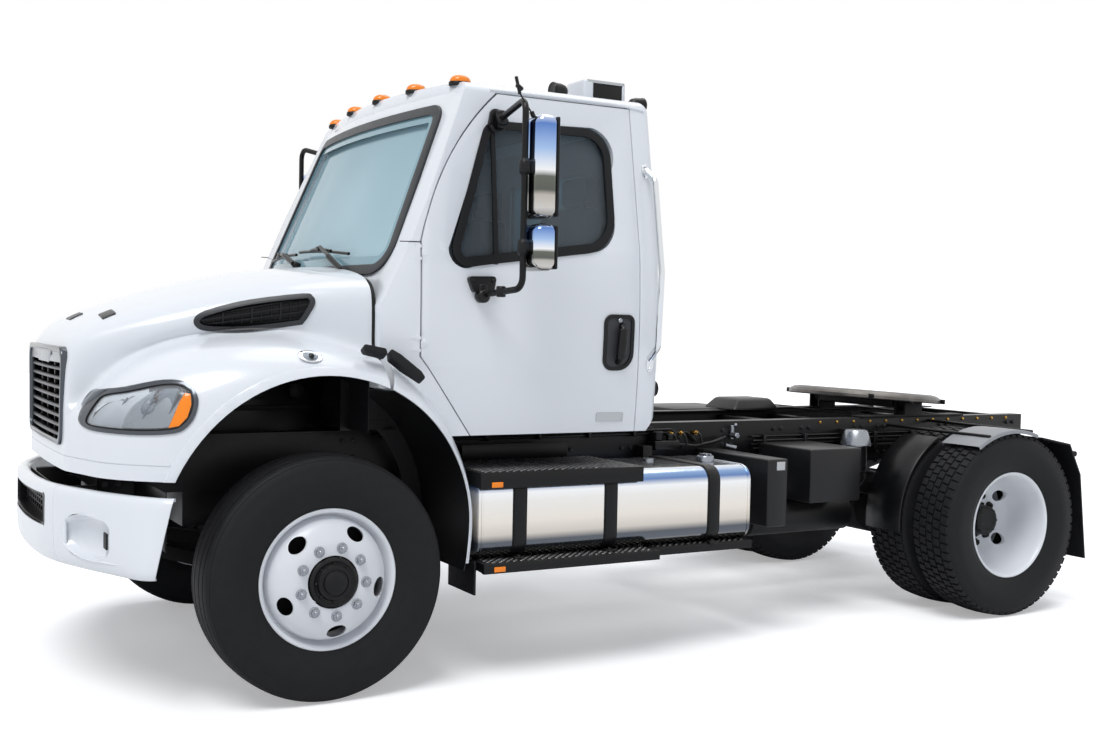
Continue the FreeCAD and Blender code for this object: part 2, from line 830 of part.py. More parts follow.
def rim(x, middle, side):
    """Disc wheel.  side is +1 where the disc is dished outwards, -1 where it is dished inwards."""
    s = side
    face = s * disc_offset
    t = disc_thickness
    wall = 10
    h = rim_half
    points = [(rim_flange, -h * s), (rim_flange, -(h - 14) * s), (bead_seat, -(h - 18) * s),
              (282, -60 * s), (rim_inside + wall, -40 * s), (rim_inside + wall, 40 * s),
              (282, 60 * s), (bead_seat, (h - 18) * s), (rim_flange, (h - 14) * s),
              (rim_flange, h * s), (274, h * s), (270, 64 * s), (rim_inside, 48 * s),
              (rim_inside - 14, 64 * s), (200, face - 33 * s), (170, face), (hub_hole, face),
              (hub_hole, face - t * s), (160, face - t * s), (188, face - 45 * s),
              (rim_inside - 26, 44 * s), (rim_inside, -44 * s), (270, -64 * s), (274, -h * s)]
    return turned(points, (x, middle, axle_height), Y_AXIS)


def tyre(x, middle):
    w = tyre_width / 2
    r = tyre_radius
    bead = bead_seat + 0.3
    lip = rim_flange + 1
    p = [(bead, -(rim_half - 19)), (lip, -(rim_half - 16)), (lip + 36, -(w - 6)), (lip + 96, -w),
         (r - 60, -(w - 14)), (r - 14, -(w - 30)), (r, -(w - 48)), (r, w - 48), (r - 14, w - 30),
         (r - 60, w - 14), (lip + 96, w), (lip + 36, w - 6), (lip, rim_half - 16), (bead, rim_half - 19)]

    def place(q):
        return V(x, middle + q[1], axle_height + q[0])

    wire = outline(p[0], [(p[1],), (p[2], p[3]), (p[4],), (p[5], p[6]), (p[7],), (p[8], p[9]), (p[10],),
                          (p[11], p[12]), (p[13],), (p[0],)], place)
    return Part.Face(wire).revolve(V(x, middle, axle_height), Y_AXIS, 360)


hub_mount = front_track_half + disc_offset - disc_thickness
spindle_end = 1130


def front_hub():
    """Hub and brake drum, bored to turn on the knuckle's spindle, closed by its cap."""
    bore = spindle_radius + running_clearance
    inner = 935
    points = [(bore, inner), (205, inner), (205, hub_mount - 80), (150, hub_mount - 70), (150, hub_mount),
              (hub_hole - 1, hub_mount), (hub_hole - 1, hub_mount + 14), (70, hub_mount + 14),
              (66, hub_mount + 42), (0, hub_mount + 42), (0, spindle_end + 15), (bore, spindle_end + 15)]
    return turned(points, (front_axle, 0, axle_height), Y_AXIS)


def front_wheel():
    return [rim(front_axle, front_track_half, 1), front_hub()]


def rear_hub():
    bore = rear_spindle_radius + running_clearance
    face = dual_middle - disc_thickness
    points = [(bore, 650), (205, 650), (205, 815), (150, 855), (150, face), (hub_hole - 1, face),
              (hub_hole - 1, dual_middle + 30), (90, 975), (84, 1040), (0, 1040), (0, 996), (bore, 996)]
    return turned(points, (rear_axle, 0, axle_height), Y_AXIS)


outer_middle = dual_middle + dual_spacing / 2
inner_middle = dual_middle - dual_spacing / 2


def rear_wheels():
    return [rim(rear_axle, outer_middle, -1), rim(rear_axle, inner_middle, 1), rear_hub()]


for side, place in (("left", lambda s: s), ("right", mirrored)):
    node(side + "_front_wheel", *[place(s) for s in front_wheel()])
    node(side + "_front_tyre", place(tyre(front_axle, front_track_half)))
    node(side + "_rear_wheels", *[place(s) for s in rear_wheels()])
    node(side + "_rear_tyres", *[place(tyre(rear_axle, y)) for y in (outer_middle, inner_middle)])

# ---- steering --------------------------------------------------------------------------------
arm_reach = 200            # steering arm's pin behind the kingpin
arm_height = 395
tie_pin = 12
rod_radius = 20


def knuckle():
    """Fork and pin round the axle's eye, spindle outwards and steering arm rearwards."""
    x, y, z = front_axle, kingpin_y, axle_height
    reach = eye_half + knuckle_gap
    lug = 42
    lugs = [bar((x, y, z + reach), (x, y, z + reach + lug), 44),
            bar((x, y, z - reach - lug), (x, y, z - reach), 44)]
    yoke = box((x - 40, x + 40), (y + 52, y + 68), (z - reach - lug, z + reach + lug))
    bridges = [box((x - 40, x + 40), (y, y + 68), (z + reach, z + reach + lug)),
               box((x - 40, x + 40), (y, y + 68), (z - reach - lug, z - reach))]
    pin = bar((x, y, z - reach - lug), (x, y, z + reach + lug), kingpin_radius)
    spindle = bar((x, y + 60, z), (x, spindle_end, z), spindle_radius)
    low = z - reach - lug
    arm = [box((x - arm_reach, x), (y - 20, y + 20), (low, low + 24)),
           bar((x - arm_reach, y, arm_height - 26), (x - arm_reach, y, low + 24), tie_pin),
           bar((x - arm_reach, y, low), (x - arm_reach, y, low + 24), 24)]
    return fuse(lugs + [yoke, pin, spindle] + bridges + arm)


def tie_rod():
    x = front_axle - arm_reach
    low = arm_height - 22
    high = arm_height
    rings = [bar((x, y, low), (x, y, high), 28) for y in (-kingpin_y, kingpin_y)]
    rod = box((x - 14, x + 14), (-kingpin_y, kingpin_y), (low, high))
    shape = fuse([rod] + rings)
    for y in (-kingpin_y, kingpin_y):
        shape = shape.cut(bar((x, y, low - 1), (x, y, high + 1), tie_pin + running_clearance))
    return shape


left_knuckle = knuckle()
node("left_knuckle", left_knuckle)
node("right_knuckle", mirrored(left_knuckle))
node("tie_rod", tie_rod())

# ---- tank, steps, boxes ----------------------------------------------------------------------
tank_low = 541
tank_high = 911
tank_inner = 515
tank_outer = 1100
tank_front = 705
tank_rear = 2235
tank_corner = 75
strap_places = [915, 1400, 2000]       # behind the front axle
strap_width = 60
strap_thickness = 5
arm_top = tank_low - strap_thickness
board_low = 490
board_high = 535
board_inner = 930


def rounded_profile(inset):
    """Y-Z outline of the tank, grown by -inset."""
    y0, y1 = tank_inner + inset, tank_outer - inset
    z0, z1 = tank_low + inset, tank_high - inset
    r = tank_corner - inset
    c = 0.293 * r
    return outline((y0 + r, z0), [((y1 - r, z0),), ((y1 - c, z0 + c), (y1, z0 + r)), ((y1, z1 - r),),
                                  ((y1 - c, z1 - c), (y1 - r, z1)), ((y0 + r, z1),),
                                  ((y0 + c, z1 - c), (y0, z1 - r)), ((y0, z0 + r),),
                                  ((y0 + c, z0 + c), (y0 + r, z0))], at_x(station(tank_rear)))


def tank():
    return slab(rounded_profile(0), V(tank_rear - tank_front, 0, 0))


def strap(behind):
    band = slab(rounded_profile(-strap_thickness), V(tank_rear - tank_front, 0, 0)).cut(tank())
    middle = station(behind)
    return band.common(box((middle - strap_width / 2, middle + strap_width / 2), (0, far), (0, far)))


def bracket(behind):
    """Upright on the rail with an arm out under the tank to the step board."""
    middle = station(behind)
    x = (middle - 30, middle + 30)
    upright = box(x, (rail_outside, tank_inner - strap_thickness), (board_low + 10, 960))
    under = box(x, (rail_outside, board_inner), (board_low + 10, arm_top))
    return fuse([upright, under])


node("fuel_tank", tank())
node("tank_straps", *[strap(d) for d in strap_places])
node("step_brackets", *[side for d in strap_places for side in both(bracket(d))])


def steps():
    """Upper tread over the tank, and the lower board along it."""
    tread_low = tank_high + strap_thickness
    upper = [box((station(1560), station(700)), (620, 1132), (tread_low, tread_low + 18)),
             box((station(1560), station(700)), (1112, 1132), (857, tread_low + 18))]
    lower = [box((station(1640), station(705)), (board_inner, 1172), (board_low, board_high)),
             box((station(2245), station(1640)), (board_inner, 1100), (board_low, board_high))]
    return fuse(upper), fuse(lower)


upper_step, lower_step = steps()
node("cab_steps", *both(upper_step), *both(lower_step))


def exhaust():
    """Silencer and after-treatment drum under the right-hand steps, with its tail pipe."""
    y = -735
    z = 725
    drum = bar((station(2000), y, z), (station(760), y, z), 175)
    stands = []
    for d in strap_places[:2]:
        x = (station(d) - 29, station(d) + 29)
        stands.append(box(x, (y - 120, y + 120), (arm_top, z)))
        stands.append(box(x, (y - 60, y + 60), (z, tank_high + strap_thickness)))
    pipe = bent_bar([(station(1990), y, z), (station(2240), y, z), (station(2240), y - 330, z - 120)],
                    100, 55)
    return fuse([drum, pipe] + stands)


node("exhaust", exhaust())


def side_boxes():
    """Narrow valve box and the wide tool box behind the tank, both on the left rail."""
    narrow = box((station(2500), station(2370)), (rail_outside, 1060), (582, 930))
    wide = box((station(3150), station(2790)), (rail_outside, 900), (663, 953))
    return [narrow, wide]


def battery_box():
    x = (station(3370), station(2820))
    body = box(x, (-950, -rail_outside), (740, 1082))
    top = [(x[0] - 10, 1082), (x[0] + 60, 1150), (x[1] - 60, 1150), (x[1] + 10, 1082)]
    cover = side_plate(top, (-960, -440))
    return [body, cover]


node("side_boxes", *side_boxes(), *battery_box())


def air_canister():
    x = station(3335)
    y = 655
    can = bar((x, y, 800), (x, y, 944), 62)
    cap = Part.makeCone(80, 60, 78, V(x, y, 944), Z_AXIS)
    stay = box((x - 30, x + 30), (rail_outside, y), (840, 900))
    return fuse([can, cap, stay])


def air_tanks():
    """Compressed-air reservoirs hung under the rails."""
    tanks = []
    for y, front, rear in ((620, 2560, 3260), (-620, 2420, 3200)):
        drum = bar((station(rear), y, 560), (station(front), y, 560), 100)
        side = 1 if y > 0 else -1
        for d in (front + 120, rear - 120):
            hanger = box((station(d) - 20, station(d) + 20), (side * (rail_outside - 60), y), (640, 650))
            post = box((station(d) - 20, station(d) + 20),
                       (side * (rail_outside - 60), side * rail_outside), (640, rail_bottom))
            drum = fuse([drum, hanger, post])
        tanks.append(drum)
    return tanks


node("air_tanks", air_canister(), *air_tanks())

# ---- rear fenders and mudflaps ---------------------------------------------------------------
fender_gap = 14
fender_sheet = 5


def arc_sheet(radius, first, last, thickness, y):
    """Curved sheet round the rear axle.  Angles are degrees forward of straight up."""
    def at(r, a):
        return (rear_axle + r * math.sin(math.radians(a)), axle_height + r * math.cos(math.radians(a)))

    middle = (first + last) / 2
    r_out = radius + thickness
    wire = outline(at(radius, first), [(at(radius, middle), at(radius, last)), (at(r_out, last),),
                                       (at(r_out, middle), at(r_out, first)), (at(radius, first),)],
                   at_y(y[0]))
    return slab(wire, V(0, y[1] - y[0], 0))


def rear_fender():
    """Quarter sheet ahead of the inner tyre, a sheet over the outer one and the bar across."""
    r = tyre_radius + fender_gap
    quarter = arc_sheet(r, 96, 28, fender_sheet, (615, 880))
    crown = arc_sheet(r, 28, -20, fender_sheet, (950, 1225))
    a = math.radians(28)
    x = rear_axle + (r + 10) * math.sin(a)
    z = axle_height + (r + 10) * math.cos(a)
    stay = bar((x, rail_outside, z), (x, 1225, z), 11)
    return fuse([quarter, crown, stay])


def rear_mudflap():
    """Leaning top sheet, flap and the arm that carries them from the rail."""
    crown = axle_height + tyre_radius
    # behind the rear axle, height
    points = [(236, crown - 42), (tyre_radius - 50, crown - 85),
              (tyre_radius + 46, axle_height + 260), (tyre_radius + 112, 285),
              (tyre_radius + 122, 285), (tyre_radius + 56, axle_height + 263),
              (tyre_radius - 43, crown - 76), (238, crown - 32)]
    flap = side_plate([(rear_axle - d, z) for d, z in points], (620, 1205))
    x = rear_axle - tyre_radius - 2
    arm = bar((x, rail_outside, axle_height + 385), (x, 1205, axle_height + 385), 16)
    return fuse([flap, arm])


node("rear_fenders", *both(rear_fender()))
node("mudflaps", *both(front_mudflap), *both(rear_mudflap()))

# ---- fifth wheel -----------------------------------------------------------------------------
plate_tilt = 4             # rear edge down, at rest
plate_radius = 475
plate_top = 1216
plate_thickness = 24
skirt = 52
jaw_radius = 25.8
plate_ear_y = 390
lug_half = 30


def fifth_wheel_base():
    """Angle irons along the rails, bearers and upright ears with the pivot pins."""
    pieces = []
    ear_thickness = 14
    for side in (-1, 1):
        y = (side * (rail_outside - rail_width), side * (rail_outside + 14))
        pieces.append(box((rear_axle - 420, rear_axle + 420), y, (rail_top, rail_top + 12)))
        middle = side * plate_ear_y
        for edge in (-1, 1):
            face = middle + edge * (lug_half + side_clearance)
            pieces.append(box((rear_axle - 70, rear_axle + 70), (face, face + edge * ear_thickness),
                              (rail_top, plate_pivot_height + 30)))
        reach = lug_half + side_clearance + ear_thickness
        pieces.append(bar((rear_axle, middle - reach, plate_pivot_height),
                          (rear_axle, middle + reach, plate_pivot_height), plate_pin_radius))
    for x in (rear_axle - 300, rear_axle + 250):
        pieces.append(box((x, x + 50), (-rail_outside, rail_outside), (rail_top, rail_top + 12)))
    return fuse(pieces)


def fifth_wheel_plate():
    """Round coupling plate with a throat open to the rear, a skirt, and ears on the pivot pins."""
    z = plate_top
    disc = bar((rear_axle, 0, z - skirt), (rear_axle, 0, z), plate_radius)
    hollow = bar((rear_axle, 0, z - skirt - 1), (rear_axle, 0, z - plate_thickness), plate_radius - 22)
    throat = [(rear_axle - 600, -190), (rear_axle - 600, 190), (rear_axle - 120, jaw_radius),
              (rear_axle, jaw_radius), (rear_axle, -jaw_radius), (rear_axle - 120, -jaw_radius)]
    slot = slab(polygon(throat, at_z(z - 100)), V(0, 0, 200))
    jaw = bar((rear_axle, 0, z - 100), (rear_axle, 0, z + 100), jaw_radius)
    plate = disc.cut(hollow)
    boss = bar((rear_axle, 0, z - skirt), (rear_axle, 0, z - plate_thickness), 90)
    ears = []
    holes = []
    for side in (-1, 1):
        y = side * plate_ear_y
        ears.append(box((rear_axle - 45, rear_axle + 45), (y - lug_half, y + lug_half),
                        (plate_pivot_height, z - plate_thickness)))
        ears.append(bar((rear_axle, y - lug_half, plate_pivot_height),
                        (rear_axle, y + lug_half, plate_pivot_height), 45))
        holes.append(bar((rear_axle, y - lug_half - 1, plate_pivot_height),
                         (rear_axle, y + lug_half + 1, plate_pivot_height),
                         plate_pin_radius + running_clearance))
    shape = fuse([plate, boss] + ears)
    for tool in [slot, jaw] + holes:
        shape = shape.cut(tool)
    shape.rotate(V(rear_axle, 0, plate_pivot_height), Y_AXIS, -plate_tilt)
    return shape


node("fifth_wheel_base", fifth_wheel_base())
node("fifth_wheel_plate", fifth_wheel_plate())

for name, shape in parts.items():
    print(name, len(shape.Solids), shape.isValid(), round(shape.Volume / 1e6, 2))
os.makedirs("parts", exist_ok=True)
for name, shape in parts.items():
    shape.exportStep("parts/" + name + ".step")
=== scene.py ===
"""Looks of a two-axle road tractor with a day cab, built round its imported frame."""
import contextlib
import json
import math

import bpy
from mathutils import Matrix, Vector

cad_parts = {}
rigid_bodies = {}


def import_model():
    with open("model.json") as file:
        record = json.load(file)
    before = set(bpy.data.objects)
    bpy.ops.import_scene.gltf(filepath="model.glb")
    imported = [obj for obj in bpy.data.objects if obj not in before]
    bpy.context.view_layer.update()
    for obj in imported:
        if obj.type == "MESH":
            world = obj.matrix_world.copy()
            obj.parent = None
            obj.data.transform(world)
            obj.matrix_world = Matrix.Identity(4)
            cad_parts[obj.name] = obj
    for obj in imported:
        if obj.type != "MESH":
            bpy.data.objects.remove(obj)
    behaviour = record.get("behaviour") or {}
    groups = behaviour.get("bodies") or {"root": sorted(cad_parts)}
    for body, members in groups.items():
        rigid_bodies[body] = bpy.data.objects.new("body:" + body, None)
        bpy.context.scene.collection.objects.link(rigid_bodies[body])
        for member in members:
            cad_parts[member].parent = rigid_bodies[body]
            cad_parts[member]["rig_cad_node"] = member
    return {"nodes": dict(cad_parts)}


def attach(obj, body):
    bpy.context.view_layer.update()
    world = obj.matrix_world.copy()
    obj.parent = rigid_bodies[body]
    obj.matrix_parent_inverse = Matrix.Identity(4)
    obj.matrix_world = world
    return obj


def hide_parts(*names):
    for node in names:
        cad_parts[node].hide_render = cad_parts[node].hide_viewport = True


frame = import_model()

bl_info = {
    "name": "Road tractor",
    "version": (1, 0, 0),
    "blender": (4, 5, 0),
    "location": "View3D > Sidebar > Tractor",
    "description": "Finishes, trim and small pieces of a two-axle road tractor",
    "category": "Object",
}

# places that several pieces share, in metres
FRONT_AXLE = 1.960
REAR_AXLE = -2.040
AXLE_HEIGHT = 0.520
TREAD_RADIUS = 0.519                # a millimetre clear of the ground
NUT_CIRCLE = 0.143                  # radius of the ring of wheel nuts
FRONT_WHEEL_Y = 1.022
OUTER_WHEEL_Y = 1.088
INNER_WHEEL_Y = 0.745
ARCH_CENTRE = (1.960, 0.712)        # X and Z of the front wheel arch
ARCH_RADIUS = 0.655
WELL_RADIUS = 0.658                 # of the cut that the arch makes in the cab
HOOD_BASE = 0.941
RAIL_OUT = 0.432
CAB_BASE = 1.094
FLIP = Matrix.Scale(-1, 4, (0, 1, 0))
DOORS = ("left_door", "right_door")
MERGE = 0.00005                     # points nearer than this are one


def behind(millimetres):
    """X of a place this many millimetres behind the front axle."""
    return FRONT_AXLE - millimetres / 1000


# ---- modelling helpers ------------------------------------------------------------------------
def only(*pieces):
    """Selects these pieces alone and makes the first one active."""
    bpy.ops.object.select_all(action="DESELECT")
    for piece in pieces:
        piece.select_set(True)
    bpy.context.view_layer.objects.active = pieces[0]


@contextlib.contextmanager
def editing(piece, chosen=None):
    """Edit mode with the faces that chosen(centre, normal) picks selected, or with everything."""
    only(piece)
    bpy.ops.object.mode_set(mode="EDIT")
    bpy.ops.mesh.select_mode(type="FACE" if chosen else "VERT")
    bpy.ops.mesh.select_all(action="DESELECT" if chosen else "SELECT")
    if chosen:
        bpy.ops.object.mode_set(mode="OBJECT")
        for face in piece.data.polygons:
            face.select = bool(chosen(face.center, face.normal))
        bpy.ops.object.mode_set(mode="EDIT")
    yield
    bpy.ops.object.mode_set(mode="OBJECT")


def modify(piece, kind, **settings):
    """Adds one modifier and applies it."""
    only(piece)
    modifier = piece.modifiers.new(kind.title(), kind)
    for key, value in settings.items():
        setattr(modifier, key, value)
    bpy.ops.object.modifier_apply(modifier=modifier.name)
    return piece


def soften(piece, width, segments=2, angle=30):
    """Rounds the edges sharper than an angle; width is in millimetres."""
    return modify(piece, "BEVEL", width=width / 1000, segments=segments, limit_method="ANGLE",
                  angle_limit=math.radians(angle), use_clamp_overlap=True)


def merged(piece):
    """Joins points that lie on each other."""
    with editing(piece):
        bpy.ops.mesh.remove_doubles(threshold=MERGE)
    return piece


def outward(piece, axis=None):
    """Turns the faces outwards; an open skin is turned so that it looks along an axis."""
    with editing(piece):
        bpy.ops.mesh.normals_make_consistent(inside=False)
    if axis is not None and sum(face.normal[axis] for face in piece.data.polygons) < 0:
        piece.data.flip_normals()
    return piece


def raised(skin, out, thick):
    """Skin moved out along its normals and given a thickness inwards, both in millimetres."""
    if out:
        modify(skin, "DISPLACE", strength=out / 1000, mid_level=0.0)
    return modify(skin, "SOLIDIFY", thickness=thick / 1000, offset=-1)


def divided(piece, cuts):
    """Edges divided, so that a flat piece can be bowed."""
    with editing(piece):
        bpy.ops.mesh.subdivide(number_cuts=cuts)
    return piece


def loop(points, fill="NGON"):
    """Flat face, or a bare loop of edges, through the points."""
    bpy.ops.object.select_all(action="DESELECT")
    bpy.ops.mesh.primitive_circle_add(vertices=len(points), fill_type=fill)
    piece = bpy.context.object
    for vertex, point in zip(piece.data.vertices, points):
        vertex.co = point
    return piece


def prism(points, along, soft=0.0, segments=2):
    """Solid pushed out of a flat outline, with its edges rounded by soft millimetres."""
    piece = loop(points)
    with editing(piece):
        bpy.ops.mesh.extrude_region_move(TRANSFORM_OT_translate={"value": along})
        bpy.ops.mesh.select_all(action="SELECT")
        bpy.ops.mesh.normals_make_consistent(inside=False)
    return soften(piece, soft, segments) if soft else piece


def block(x, y, z, soft=3.0, segments=2):
    """Block between two values on each axis, with its edges rounded by soft millimetres."""
    bpy.ops.object.select_all(action="DESELECT")
    middle = [(a + b) / 2 for a, b in (x, y, z)]
    size = [abs(b - a) for a, b in (x, y, z)]
    bpy.ops.mesh.primitive_cube_add(size=1, location=middle, scale=size)
    piece = bpy.context.object
    bpy.ops.object.transform_apply(location=True, rotation=True, scale=True)
    return soften(piece, soft, segments) if soft else piece


def lathe(profile, centre=(0, 0, 0), axis="Y", steps=48):
    """Solid of revolution from a closed (radius, along) profile round an axis through centre."""
    place = {"X": lambda r, a: (a, 0, r), "Y": lambda r, a: (0, a, r), "Z": lambda r, a: (r, 0, a)}[axis]
    line = {"X": (1, 0, 0), "Y": (0, 1, 0), "Z": (0, 0, 1)}[axis]
    piece = loop([Vector(centre) + Vector(place(r, a)) for r, a in profile], "NOTHING")
    with editing(piece):
        bpy.ops.mesh.spin(steps=steps, angle=math.tau, center=centre, axis=line)
    return outward(merged(piece))


def placed(piece, matrix):
    """Moves the piece's mesh, and keeps its faces outwards if the matrix mirrors it."""
    piece.data.transform(matrix)
    if matrix.determinant() < 0:
        piece.data.flip_normals()
    return piece


def along_line(start, end):
    """Matrix that carries +Z from the origin onto the line from start to end."""
    way = Vector(end) - Vector(start)
    return Matrix.Translation(start) @ way.to_track_quat("Z", "Y").to_matrix().to_4x4()


def rod(start, end, radius, soft=1.0, steps=24):
    """Round bar with rounded rims."""
    length = (Vector(end) - Vector(start)).length
    s = soft / 1000
    profile = [(0, 0), (radius - s, 0), (radius, s), (radius, length - s), (radius - s, length), (0, length)]
    return placed(lathe(profile, axis="Z", steps=steps), along_line(start, end))


def rounded(points, bend, steps=6):
    """Points along a path with arcs at its corners; bend is one radius, or one a corner."""
    bends = bend if isinstance(bend, (list, tuple)) else [bend] * (len(points) - 2)
    path = [Vector(points[0])]
    for before, corner, after, bend in zip(points, points[1:], points[2:], bends):
        corner = Vector(corner)
        into = (Vector(before) - corner).normalized()
        out = (Vector(after) - corner).normalized()
        half = into.angle(out) / 2
        if half > 1.5:
            path.append(corner)
            continue
        reach = bend / math.tan(half)
        centre = corner + (into + out).normalized() * (bend / math.sin(half))
        first = corner + into * reach - centre
        last = corner + out * reach - centre
        for i in range(steps + 1):
            path.append(centre + first.normalized().slerp(last.normalized(), i / steps) * first.length)
    path.append(Vector(points[-1]))
    return path


def rounded_outline(points, bend, steps=4):
    """Closed outline with each corner rounded."""
    ring = [points[-1]] + list(points) + [points[0]]
    return rounded(ring, bend, steps)[1:-1]


def grown(ring, grow):
    """Dense closed outline of two coordinates, moved outwards by grow."""
    ring = [Vector(p[:2]) for p in ring]
    middle = sum(ring, Vector((0, 0))) / len(ring)
    out = []
    for i, place in enumerate(ring):
        way = ring[(i + 1) % len(ring)] - ring[i - 1]
        side = Vector((way.y, -way.x)).normalized()
        if side.dot(place - middle) < 0:
            side.negate()
        moved = place + side * grow
        if min((moved - other).length for other in ring) > abs(grow) * 0.96 - 1e-6:
            out.append(moved.to_tuple())
    return out


def tube(points, radius, bend=0.0, sides=3, smooth=False):
    """Round bar along a path; smooth makes it a flowing line that its points only steer."""
    path = rounded(points, bend) if bend else [Vector(p) for p in points]
    bpy.ops.object.select_all(action="DESELECT")
    bpy.ops.curve.primitive_nurbs_path_add()
    piece = bpy.context.object
    piece.data.splines.clear()
    line = piece.data.splines.new("NURBS" if smooth else "POLY")
    line.points.add(len(path) - 1)
    for point, place in zip(line.points, path):
        point.co = (*place, 1)
    if smooth:
        line.order_u = 4
        line.use_endpoint_u = True
        line.resolution_u = 6
    piece.data.bevel_depth = radius
    piece.data.bevel_resolution = sides
    piece.data.use_fill_caps = True
    only(piece)
    bpy.ops.object.convert(target="MESH")
    piece = bpy.context.object
    return outward(merged(piece))


def sheet(rows, closed=False):
    """Surface through rows of points, all rows alike; closed joins each row's ends."""
    across = len(rows[0])
    bpy.ops.object.select_all(action="DESELECT")
    bpy.ops.mesh.primitive_grid_add(x_subdivisions=across - 1, y_subdivisions=len(rows) - 1, size=1)
    piece = bpy.context.object
    for vertex, point in zip(piece.data.vertices, [p for row in rows for p in row]):
        vertex.co = point
    return merged(piece) if closed else piece


def copied(piece, matrix=None):
    """A second piece with its own mesh, moved by a matrix."""
    twin = piece.copy()
    twin.data = piece.data.copy()
    bpy.context.collection.objects.link(twin)
    return placed(twin, matrix) if matrix else twin


def joined(pieces):
    """One piece out of several."""
    only(*pieces)
    if len(pieces) > 1:
        bpy.ops.object.join()
    return bpy.context.object


def mirrored_pair(piece):
    """The piece and its image on the other side, as two pieces."""
    return piece, copied(piece, FLIP)


def around(piece, count, centre, axis="Y", angles=None):
    """Copies of the piece evenly round an axis, or turned by the listed degrees, all joined."""
    angles = angles or [360 * i / count for i in range(count)]
    shift = Matrix.Translation(centre)
    turns = [shift @ Matrix.Rotation(math.radians(a), 4, axis) @ shift.inverted() for a in angles]
    made = [copied(piece, turn) for turn in turns]
    bpy.data.objects.remove(piece)
    return joined(made)


def combine(piece, tool, how="DIFFERENCE", keep=False):
    """Cuts, joins or crosses the piece with a solid tool."""
    modify(piece, "BOOLEAN", object=tool, operation=how, solver="EXACT")
    if not keep:
        bpy.data.objects.remove(tool)
    return piece


def from_node(name):
    """Merged copy of a CAD node's mesh, to be worked on and shown in its place."""
    source = frame["nodes"][name]
    bpy.ops.object.select_all(action="DESELECT")
    bpy.ops.mesh.primitive_plane_add()
    piece = bpy.context.object
    piece.data = source.data.copy()
    return merged(piece)


def finish(piece, name, material, body, stands_for=(), angle=38):
    """Names a piece, gives it its finish and its body, and shades its rounds smoothly."""
    piece.name = name
    piece.data.name = name
    piece.data.materials.clear()
    piece.data.materials.append(FINISHES[material])
    for face in piece.data.polygons:
        face.material_index = 0
    only(piece)
    bpy.ops.object.shade_smooth_by_angle(angle=math.radians(angle))
    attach(piece, body)
    if stands_for:
        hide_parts(*stands_for)
    return piece


def finish_pair(piece, name, material, bodies, stands_for=None, angle=38):
    """Finishes a left-hand piece and its image on the right."""
    left, right = mirrored_pair(piece)
    bodies = (bodies, bodies) if isinstance(bodies, str) else bodies
    stands_for = stands_for or ((), ())
    finish(left, "left_" + name, material, bodies[0], stands_for[0], angle)
    finish(right, "right_" + name, material, bodies[1], stands_for[1], angle)


# ---- finishes ---------------------------------------------------------------------------------
FINISHES = {}


def linear(hex_colour):
    """Linear RGBA from an sRGB hex colour."""
    parts = [int(hex_colour[i:i + 2], 16) / 255 for i in (1, 3, 5)]
    return [p / 12.92 if p <= 0.04045 else ((p + 0.055) / 1.055) ** 2.4 for p in parts] + [1.0]


def add(tree, kind, settings=None, **inputs):
    """Adds one node.  settings are its attributes; inputs are values, or sockets to link."""
    node = tree.nodes.new(kind)
    for key, value in (settings or {}).items():
        setattr(node, key, value)
    for key, value in inputs.items():
        name = key.replace("_", " ")
        socket = node.inputs[int(key[1:])] if key[1:].isdigit() else node.inputs[name]
        if isinstance(value, bpy.types.NodeSocket):
            tree.links.new(value, socket)
        else:
            socket.default_value = value
    return node


